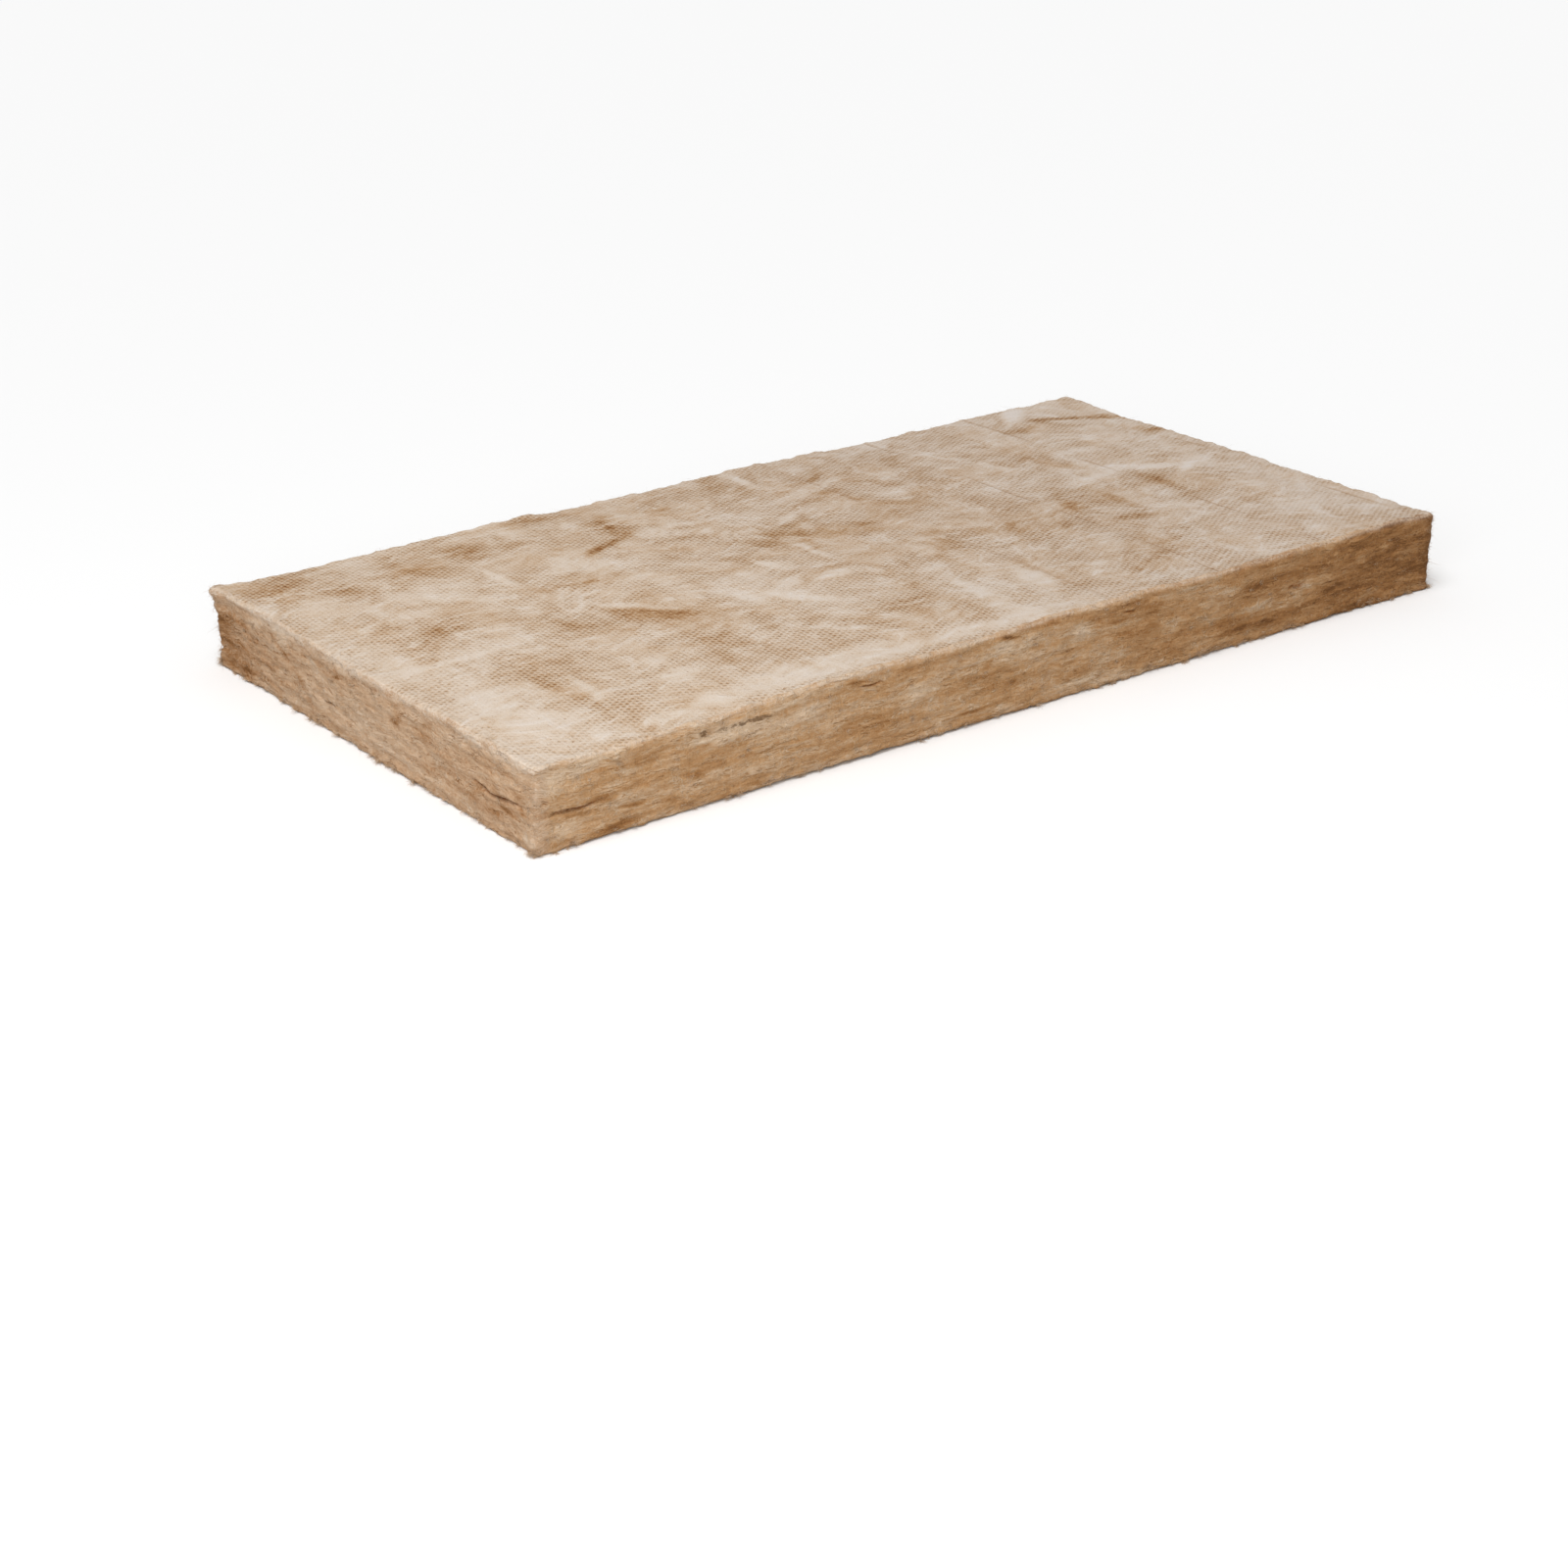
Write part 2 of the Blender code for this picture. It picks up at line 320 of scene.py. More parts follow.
def plan_round(x, y):
    """Rounds the slab's plan. Inside each corner's square the square is pressed into a quarter disc, so
    a point keeps its larger coordinate as its distance from the corner's centre. Returns the points,
    their distance inside the outline and the direction out of it."""
    across_x = np.maximum(np.abs(x) - (HALF_LENGTH - CORNER_RADIUS), 0) / CORNER_RADIUS
    across_y = np.maximum(np.abs(y) - (HALF_WIDTH - CORNER_RADIUS), 0) / CORNER_RADIUS
    larger = np.maximum(across_x, across_y)
    far = np.maximum(np.hypot(across_x, across_y), LEAST_LENGTH)
    out_x = across_x * larger / far
    out_y = across_y * larger / far
    new_x = np.sign(x) * (np.minimum(np.abs(x), HALF_LENGTH - CORNER_RADIUS) + CORNER_RADIUS * out_x)
    new_y = np.sign(y) * (np.minimum(np.abs(y), HALF_WIDTH - CORNER_RADIUS) + CORNER_RADIUS * out_y)
    plain = np.minimum(HALF_LENGTH - np.abs(x), HALF_WIDTH - np.abs(y))
    inset = np.where(larger > 0, CORNER_RADIUS * (1 - larger), plain)
    length = np.maximum(np.hypot(out_x, out_y), LEAST_LENGTH)
    outward = np.stack([np.sign(x) * out_x / length, np.sign(y) * out_y / length], -1)
    return np.stack([new_x, new_y], -1), inset, outward


def edge_place(x, y):
    """How far along the outline, anticlockwise from the low corner of the high-X end, the nearest edge
    point lies."""
    near_end = HALF_LENGTH - np.abs(x) < HALF_WIDTH - np.abs(y)
    width, length = 2 * HALF_WIDTH, 2 * HALF_LENGTH
    inset = np.minimum(HALF_LENGTH - np.abs(x), HALF_WIDTH - np.abs(y))
    along_y = (y / np.maximum(HALF_WIDTH - inset, 1e-6) + 1) / 2
    along_x = (x / np.maximum(HALF_LENGTH - inset, 1e-6) + 1) / 2
    ends = np.where(x > 0, along_y * width, width + length + (1 - along_y) * width)
    sides = np.where(y > 0, width + (1 - along_x) * length, 2 * width + length + along_x * length)
    return np.where(near_end, ends, sides)


def edge_wave(place, spacing):
    """From -1 to 1, with a whole number of waves round the edge, each about spacing long."""
    around = 4 * (HALF_LENGTH + HALF_WIDTH)
    return np.sin(2 * np.pi * max(1, round(around / spacing)) * place / around)


def rim_radius(place):
    return RIM_RADIUS + RIM_SWELL * edge_wave(place, RIM_SWELL_SPACING)


def top_height(place, inset):
    """The top face's height: full in the middle, and down by the edge's dip along a half cosine near
    the edge."""
    dip = DIP_LEAST + (DIP_MOST - DIP_LEAST) * (0.5 + 0.5 * edge_wave(place, DIP_SPACING))
    share = np.clip((inset - rim_radius(place)) / SHOULDER_WIDTH, 0, 1)
    return THICKNESS - dip * (0.5 + 0.5 * np.cos(np.pi * share))


def on_front(outward):
    return outward[:, 1] < -FACING


def on_left_end(outward):
    return outward[:, 0] < -FACING


def on_arc(distance, radius):
    """Bends a flat face round an edge of that radius. A point nearer the edge than the radius moves
    straight towards the arc's centre until it lies on the arc. Returns its distance from the edge's
    line along the face, and how far it has left the face."""
    before_centre = np.maximum(radius - distance, 0)
    far = np.hypot(radius, before_centre)
    kept = np.where(distance < radius, radius - radius * before_centre / far, distance)
    return kept, np.where(distance < radius, radius - radius * radius / far, 0)


def split_line(split, along, low, high):
    """(the split's height, how open it is from 0 to 1) at each place along its face."""
    middle = (low + high) / 2 + split.anchor * (high - low) / 2 + split.place
    share = (along - middle) / split.length + 0.5
    inside = (share > 0) & (share < 1)
    fullness = np.where(inside, np.sin(np.pi * np.clip(share, 0, 1)) ** 0.7, 0.0)
    height = THICKNESS - split.depth + split.waver * np.sin(2 * np.pi * SPLIT_WAVES * share)
    return height, fullness


def face_splits(points, outward):
    """Each split with the coordinate along its face, that face's low and high end, and a mask of the
    points on it."""
    for split in FRONT_SPLITS:
        yield split, points[:, 0], -HALF_LENGTH, HALF_LENGTH, on_front(outward)
    for split in END_SPLITS:
        yield split, points[:, 1], -HALF_WIDTH, HALF_WIDTH, on_left_end(outward)


def gather_rows(points, outward):
    """Draws the grid's rows together at each split: a row at distance d from the split's line moves
    nearer by a share that fades as exp(-(d / GATHER_SPREAD) squared)."""
    height = points[:, 2].copy()
    for split, along, low, high, mask in face_splits(points, outward):
        line, fullness = split_line(split, along, low, high)
        away = height - line
        pull = GATHER_SHARE * np.minimum(1, 1.6 * fullness) * away
        height -= np.where(mask, pull * np.exp(-((away / GATHER_SPREAD) ** 2)), 0)
    return height


def split_depth(points, outward):
    """(how far each point sinks into a split, how much painted shade it gets there, how far the lips swell
    out).
    """
    sunk = np.zeros(len(points))
    dark = np.zeros(len(points))
    lip = np.zeros(len(points))
    for split, along, low, high, mask in face_splits(points, outward):
        line, fullness = split_line(split, along, low, high)
        away = np.abs(points[:, 2] - line) / (split.opening * (0.35 + 0.65 * fullness) / 2)
        shape = np.exp(-(away**2.5)) * fullness * mask
        sunk = np.maximum(sunk, SPLIT_GAPE * split.reach * shape)
        # Painted shade along the split's line
        dark = np.maximum(dark, np.exp(-((away / 0.8) ** 2)) * np.minimum(1, 1.8 * fullness) * mask)
        lip = np.maximum(lip, LIP_SWELL * np.exp(-((away - LIP_PLACE) ** 2)) * fullness * mask)
    return sunk, dark, lip


def patch_tone(along, down, group, rough):
    """The sum of soft ellipses. Each falls off as exp(-q to the 1.3), where q is the squared distance
    from its middle in units of its half sizes. rough moves the points a little first, so that no edge
    is a true ellipse."""
    along = along / MM + rough[0]
    down = down / MM + rough[1]
    total = np.zeros(len(along))
    for patch in group:
        turn = math.radians(patch.turn)
        right = along - patch.along
        below = down - patch.down
        on = (right * math.cos(turn) + below * math.sin(turn)) / patch.half_length
        off = (below * math.cos(turn) - right * math.sin(turn)) / patch.half_width
        total += patch.tone * np.exp(-((on * on + off * off) ** 1.3))
    return total


def grid_normals(points, quads, last_ring):
    """Unit normals at the vertices: the sum of each face's diagonals' cross product, plus the flat
    underside's."""
    corners = points[quads]
    facing = np.cross(corners[:, 2] - corners[:, 0], corners[:, 3] - corners[:, 1])
    normals = np.zeros_like(points)
    for k in range(4):
        for axis in range(3):
            normals[:, axis] += np.bincount(quads[:, k], weights=facing[:, axis], minlength=len(points))
    normals[last_ring] = (0, 0, -1)
    return normals / np.maximum(np.linalg.norm(normals, axis=1, keepdims=True), 1e-15)


def top_grid(cell):
    """The top face as a grid that bends over the rim's upper half. Returns its points, its faces, its
    border's points in order, and each point's place on the rounded plan, direction out of the
    outline, place along it and distance inside it."""
    lines_x = grid_lines(HALF_LENGTH, cell)
    lines_y = grid_lines(HALF_WIDTH, cell)
    x, y = (a.ravel() for a in np.meshgrid(lines_x, lines_y, indexing="ij"))
    plan, inset, outward = plan_round(x, y)
    place = edge_place(x, y)
    kept, drop = on_arc(inset, rim_radius(place))
    height = top_height(place, inset) - drop
    points = np.column_stack([plan - outward * (kept - inset)[:, None], height])
    ids = np.arange(len(x)).reshape(len(lines_x), len(lines_y))
    quads = np.stack([ids[:-1, :-1], ids[1:, :-1], ids[1:, 1:], ids[:-1, 1:]], -1).reshape(-1, 4)
    border = np.concatenate([ids[:-1, 0], ids[-1, :-1], ids[:0:-1, -1], ids[0, :0:-1]])
    return points, quads, border, plan, outward, place, inset


def side_rows(row):
    """How far below the top edge each ring lies: close together at the rim and foot, and even between."""
    near = np.array(EDGE_LINES[1:]) * MM
    straight = THICKNESS - 2 * near[-1]
    even = np.linspace(near[-1], THICKNESS - near[-1], round(straight / row) + 1)
    return np.concatenate([near[:-1], even, THICKNESS - near[-2::-1]])


def side_ring(down, upper, radius):
    """(height, distance inside the outline) of the ring that lies down below the top edge: on the rim's
    arc, the upright side or the foot's arc."""
    below = down * upper / THICKNESS
    if down < THICKNESS / 2:
        drop, inset = on_arc(below, radius)
        return upper - drop, inset
    return on_arc(upper - below, FOOT_RADIUS)


def slab_grid(cell, row):
    """The slab's smooth shape, before its relief. The top face's border goes down the sides as rings and
    in under the foot, and one flat face closes the underside."""
    top, top_quads, border, plan, outward, place, inset = top_grid(cell)
    edge, out, at = plan[border], outward[border], place[border]
    upper = top_height(at, np.zeros(len(at)))
    downs = side_rows(row)
    rings = []
    for down in downs:
        height, move = side_ring(down, upper, rim_radius(at))
        rings.append(np.column_stack([edge - out * move[:, None], height]))
    for under in UNDERSIDE_LINES:
        move, lift = on_arc(under * MM, FOOT_RADIUS)
        squeezed = plan_squeeze(edge, move) if move > CORNER_RADIUS else edge - out * move
        rings.append(np.column_stack([squeezed, np.full(len(edge), lift)]))
    points = np.concatenate([top, *rings])
    points[:, 2] += SLAB_LOW.z
    around = len(border)
    ids = np.concatenate([border, len(top) + np.arange(around * len(rings))]).reshape(-1, around)
    after = np.roll(ids, -1, axis=1)
    side_quads = np.stack([ids[:-1], ids[1:], after[1:], after[:-1]], -1).reshape(-1, 4)
    quads = np.concatenate([top_quads, side_quads])
    on_top = np.zeros(len(top))
    outwards = np.concatenate([outward, np.tile(out, (len(rings), 1))])
    insets = np.concatenate([inset, np.zeros(around * len(rings))])
    side_down = np.repeat([*downs, *[THICKNESS] * len(UNDERSIDE_LINES)], around)
    side_under = np.repeat([*[0.0] * len(downs), *UNDERSIDE_LINES], around) * MM
    down = np.concatenate([on_top, side_down])
    return Grid(points, quads, ids[-1], outwards, insets, down, np.concatenate([on_top, side_under]))


def plan_squeeze(edge, move):
    """The outline shrunk to lie move inside itself, as the whole plan scaled along each axis."""
    return edge * np.array([(HALF_LENGTH - move) / HALF_LENGTH, (HALF_WIDTH - move) / HALF_WIDTH])


def foot_lift(points, down, under_inset):
    """How far the ragged foot stands off the floor: most at the edge, and none where the underside lies
    flat."""
    near = (1 - smooth_step(THICKNESS - down, 0.002, FOOT_HEIGHT)) * np.exp(-under_inset / FOOT_LIFT_REACH)
    lumps = 0.7 * cloud(points * LEVEL, 0.060, 3, 27) + 0.7 * cloud(points * LEVEL, 0.017, 3, 33)
    inside = HALF_LENGTH - np.abs(points[:, 0]) + HALF_WIDTH - np.abs(points[:, 1])
    corner = np.minimum(inside / CORNER_CALM, 1)
    arch = ARCH_RISE * np.exp(-(((points[:, 0] - ARCH_PLACE) / ARCH_REACH) ** 2)) * (points[:, 1] < 0)
    return near * corner * (FOOT_LIFT * np.maximum(lumps + 0.15, 0) + arch)


def cut_look_reach(points, down):
    """How far a point has the look of a cut edge, from 0 on the broad face to 1. The line between them
    lies a little in from the edge, further in the middle of the front edge, and wanders."""
    x, y = points[:, 0], points[:, 1]
    middle = smooth_step(x, -HALF_LENGTH, -HALF_LENGTH / 2)
    middle *= 1 - 0.4 * smooth_step(x, HALF_LENGTH / 2, HALF_LENGTH)
    front = WRAP + (WRAP_FRONT - WRAP) * middle - (y + HALF_WIDTH) / MM
    others = WRAP - np.minimum(HALF_LENGTH - np.abs(x), HALF_WIDTH - y) / MM
    wander = WRAP_WANDER * cloud(points * LEVEL, 0.05, 3, 91)
    past = np.maximum(front, others) + down / MM + wander
    return smooth_step(past, -WRAP_BLUR, WRAP_BLUR)


def near_corner(points, corner, size):
    """1 at that point of the far-left upright corner and fading round it, over size along X, Y and Z."""
    away = (points - corner) / np.asarray(size)
    return np.exp(-np.einsum("ij,ij->i", away, away) ** 1.6)


def cut_relief(points, swirled, outward):
    """How far the cut edges stand out: ridges along the layers, slow bulges, and lumps with folds between
    them, where slower noise crosses its middle. The ends fold more than the long edges."""
    layered = points + UPWARD * (0.005 * cloud(points, (0.06, 0.06, 0.03), 2, 14))[:, None]
    ridges = cloud(layered, (0.045, 0.045, 0.0075), 3, 15)
    ridges = 1.5 * np.sign(ridges) * np.abs(ridges) ** 0.7
    ridges += 0.7 * cloud(layered, (0.018, 0.018, 0.0034), 2, 19)
    bulges = 1.1 * cloud(points, (0.10, 0.10, 0.04), 2, 21)
    lumps = 1.4 * cloud(points, (0.013, 0.013, 0.008), 2, 43)
    folds = np.exp(-((cloud(swirled, (0.034, 0.034, 0.020), 2, 45) / 0.10) ** 2))
    lumps -= folds * np.where(np.abs(outward[:, 0]) > FACING, 1.0, 0.5)
    return MM * (ridges + bulges + lumps)


def swell(points):
    """How far the free top face stands above the solid's: least at the ends, more in the middle, and more
    again along the front edge."""
    x, y = points[:, 0], points[:, 1]
    loft = LOFT_ENDS + (LOFT_MIDDLE - LOFT_ENDS) * np.cos(np.pi / 2 * np.clip(x / HALF_LENGTH, -1, 1))
    forward = np.clip(0.5 - y / (2 * HALF_WIDTH), 0, 1)
    return loft + LOFT_FRONT * smooth_step(x, -HALF_LENGTH, 0) * forward


def wool_tones(points, outward, wrap, warp, small_warp, swirled):
    """(tone, stain) at each point, from the patches of the face that it is on. The top face's are broken
    up by noise, and the front edge grows darker towards the high-X end: painted shade for the light that
    falls off away from the lamps at the left."""
    rough = (10 * warp[:, :2] + 3 * small_warp).T
    fine = (5.0 * warp[:, 0], 1.2 * warp[:, 1])
    broken = 1 + 0.7 * cloud(swirled, 0.022, 3, 51) + 0.6 * cloud(points, 0.0075, 2, 55)
    along = points[:, 0] + HALF_LENGTH
    from_back = HALF_WIDTH - points[:, 1]
    depth = THICKNESS - (points[:, 2] - SLAB_LOW.z)
    front, end = on_front(outward), on_left_end(outward)
    # Painted shade: the front edge darkens towards the high-X end, away from the lamps at the left
    right_end_shade = smooth_step(points[:, 0], -0.1, 0.6)
    tone = (1 - wrap) * patch_tone(along, from_back, TOP_PATCHES, rough) * broken
    tone = tone + wrap * front * (patch_tone(along, depth, FRONT_PATCHES, fine) - right_end_shade)
    tone = tone + wrap * end * patch_tone(from_back, depth, END_PATCHES, fine) * 0.85
    return tone, front * patch_tone(along, depth, STAIN_PATCHES, fine)


def pale_rim(points, grid, foot):
    """1 at the rim and up the corners, fading away from them, and slower down the end than the sides."""
    corner = HALF_LENGTH + HALF_WIDTH - np.abs(points[:, 0]) - np.abs(points[:, 1])
    upright = np.exp(-((corner / (4 * MM)) ** 2)) * (1 - foot)
    reach = np.where(on_left_end(grid.outward), 9 * MM, 3 * MM)
    beside = np.maximum(upright, np.exp(-((grid.down / reach) ** 2)))
    return np.where(grid.down > 0, beside, np.exp(-((grid.inset / (7 * MM)) ** 2)))


@functools.lru_cache(maxsize=1)
def slab_surface(cell, row, relief):
    """The slab with its relief. Every point moves along its normal. On the broad face the move is slow
    waves and soft tufts. On the cut edges it is their relief, a ragged foot and the splits. The rim is
    lumpy, the top swells, and the far-left corner has its curl above and its bite below."""
    grid = slab_grid(cell, row)
    points, outward, inset, down = grid.points, grid.outward, grid.inset, grid.down
    side = down > 0
    plain = grid.under > UNDERSIDE_PLAIN
    points[:, 2] = np.where(side, gather_rows(points, outward), points[:, 2])
    normals = grid_normals(points, grid.quads, grid.last_ring)
    cut = np.where(plain, 0.0, smooth_step(down, 0.0, 5 * MM))

    warp = np.stack([cloud(points, 0.060, 3, seed) for seed in (3, 5, 8)], -1)
    small_warp = np.stack([cloud(points, 0.016, 2, seed) for seed in (61, 65)], -1)
    swirled = points + SWIRL * warp
    waves = 0.8 * MM * cloud(points, 0.16, 2, 11) + 0.7 * MM * cloud(swirled, 0.035, 3, 12)
    foot = 1 - smooth_step(points[:, 2] - SLAB_LOW.z, 0.0, FOOT_HEIGHT)
    ragged = foot * cloud(points, (0.013, 0.013, 0.007), 3, 25)
    on_rim = 1 - np.where(side, smooth_step(down, 3 * MM, 10 * MM), smooth_step(inset, 2 * MM, 11 * MM))
    rim_waves = RIM_WAVE * np.exp(-inset / (25 * MM)) * cloud(points * LEVEL, 0.07, 2, 93)
    rim_lumps = RIM_LUMPS * on_rim * (cloud(points, 0.013, 2, 37) + 0.8 * cloud(points, 0.036, 2, 41))
    sunk, gap, lip = split_depth(points, outward)
    far_left = np.array([-HALF_LENGTH, HALF_WIDTH, SLAB_LOW.z])
    curl = near_corner(points, far_left + CURL_PLACE, CURL_SIZE)
    bite = BITE_DEPTH * near_corner(points, far_left + BITE_PLACE, BITE_SIZE)

    side_move = cut_relief(points, swirled, outward) + FOOT_RAGGED * ragged
    natural = (1 - cut) * waves + cut * side_move + rim_lumps * (1 + CURL_LUMPS * curl)
    move = relief * natural + lip - bite - sunk
    points = points + normals * (move * (grid.under < 1 * MM))[:, None]
    share_up = np.clip((points[:, 2] - SLAB_LOW.z) / THICKNESS, 0, 1)
    points[:, 2] += relief * share_up * (swell(points) + rim_waves) + CURL_RISE * curl
    points[:, :2] += CURL_PUSH * curl[:, None] * (-1, 1)
    points[:, 2] = np.maximum(points[:, 2], SLAB_LOW.z)
    points[:, 2] += relief * foot_lift(points, down, grid.under)

    wrap = np.where(plain, 0.0, cut_look_reach(points, down))
    tone, stain = wool_tones(points, outward, wrap, warp, small_warp, swirled)
    rim = pale_rim(points, grid, foot)
    normals = grid_normals(points, grid.quads, grid.last_ring)
    return Surface(points, normals, grid.quads, grid.last_ring, cut, wrap, tone, gap, stain, rim)


def mesh_object(name, points, loops, sizes, smooth=True):
    """A mesh object from arrays: points, the corners of all faces in a row, and each face's number of
    corners."""
    mesh = bpy.data.meshes.new(name)
    mesh.vertices.add(len(points))
    mesh.vertices.foreach_set("co", np.asarray(points, np.float32).ravel())
    mesh.loops.add(len(loops))
    mesh.loops.foreach_set("vertex_index", np.asarray(loops, np.int32))
    mesh.polygons.add(len(sizes))
    starts = np.concatenate([[0], np.cumsum(sizes)[:-1]])
    mesh.polygons.foreach_set("loop_start", starts.astype(np.int32))
    mesh.polygons.foreach_set("loop_total", np.asarray(sizes, np.int32))
    mesh.polygons.foreach_set("use_smooth", np.full(len(sizes), smooth))
    mesh.update(calc_edges=True)
    mesh.validate()
    obj = bpy.data.objects.new(name, mesh)
    bpy.context.scene.collection.objects.link(obj)
    return obj


def set_attribute(obj, name, values):
    layer = obj.data.attributes.new(name, "FLOAT", "POINT")
    layer.data.foreach_set("value", np.asarray(values, np.float32))


def finish_piece(obj, material):
    obj.data.materials.append(material)
    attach(obj, BODY)


def sweep(paths, across, up, half_width, half_height, around):
    """Closed shapes, each an ellipse carried along its path. paths, across and up hold one row of
    points or unit directions for each shape, and the half sizes one number for each of those points. A
    point of the surface is the path's point, plus across times half_width times the cosine and up times
    half_height times the sine of the turn."""
    shapes, stations = paths.shape[:2]
    turn = 2 * np.pi * np.arange(around) / around
    wide = (half_width[..., None] * np.cos(turn))[..., None] * across[:, :, None, :]
    high = (half_height[..., None] * np.sin(turn))[..., None] * up[:, :, None, :]
    points = (paths[:, :, None, :] + wide + high).reshape(-1, 3)
    ids = np.arange(len(points)).reshape(shapes, stations, around)
    after = np.roll(ids, -1, axis=2)
    walls = np.stack([ids[:, :-1], after[:, :-1], after[:, 1:], ids[:, 1:]], -1).reshape(-1, 4)
    starts = ids[:, 0, ::-1].reshape(-1, around)
    ends = ids[:, -1].reshape(-1, around)
    loops = np.concatenate([walls.ravel(), starts.ravel(), ends.ravel()])
    sizes = np.concatenate([np.full(len(walls), 4), np.full(2 * shapes, around)])
    return points, loops, sizes


def unit(vectors):
    return vectors / np.maximum(np.linalg.norm(vectors, axis=-1, keepdims=True), LEAST_LENGTH)


# A loose fibre: its stations and sides, how much it thins to the tip, and its second, smaller bend
STRAND_STATIONS = 5
STRAND_SIDES = 3
STRAND_TAPER = 0.8
STRAND_SWAY = 0.35
FLOOR_GAP = 0.0002


def strands(roots, ways, lengths, widths, bend, source):
    """Loose fibres. Each path is its root plus its way times its length and t, bent sideways by bend
    times t squared and by a smaller sine, and it thins towards the tip."""
    count = len(roots)
    share = np.linspace(0, 1, STRAND_STATIONS)[None, :, None]
    sideways = unit(np.cross(ways, unit(source.normal(size=(count, 3)))))
    other = np.cross(ways, sideways)
    length = lengths[:, None, None]
    paths = roots[:, None] + ways[:, None] * length * share
    paths = paths + sideways[:, None] * length * bend * share**2
    paths = paths + other[:, None] * length * bend * STRAND_SWAY * np.sin(2 * np.pi * share)
    paths[..., 2] = np.maximum(paths[..., 2], SLAB_LOW.z + FLOOR_GAP)
    thin = widths[:, None] * (1 - STRAND_TAPER * share[..., 0])
    across, up = (np.tile(way[:, None], (1, STRAND_STATIONS, 1)) for way in (sideways, other))
    return sweep(paths, across, up, thin, thin, STRAND_SIDES)


class Socket:
    """What a node gives. Arithmetic on it adds Math nodes."""

    def __init__(self, nodes, socket):
        self.nodes = nodes
        self.socket = socket

    def math(self, operation, *others):
        return self.nodes.math(operation, self, *others)

    def __add__(self, other):
        return self.nodes.math("ADD", self, other)

    def __radd__(self, other):
        return self.nodes.math("ADD", other, self)

    def __sub__(self, other):
        return self.nodes.math("SUBTRACT", self, other)

    def __rsub__(self, other):
        return self.nodes.math("SUBTRACT", other, self)

    def __mul__(self, other):
        return self.nodes.math("MULTIPLY", self, other)

    def __rmul__(self, other):
        return self.nodes.math("MULTIPLY", other, self)


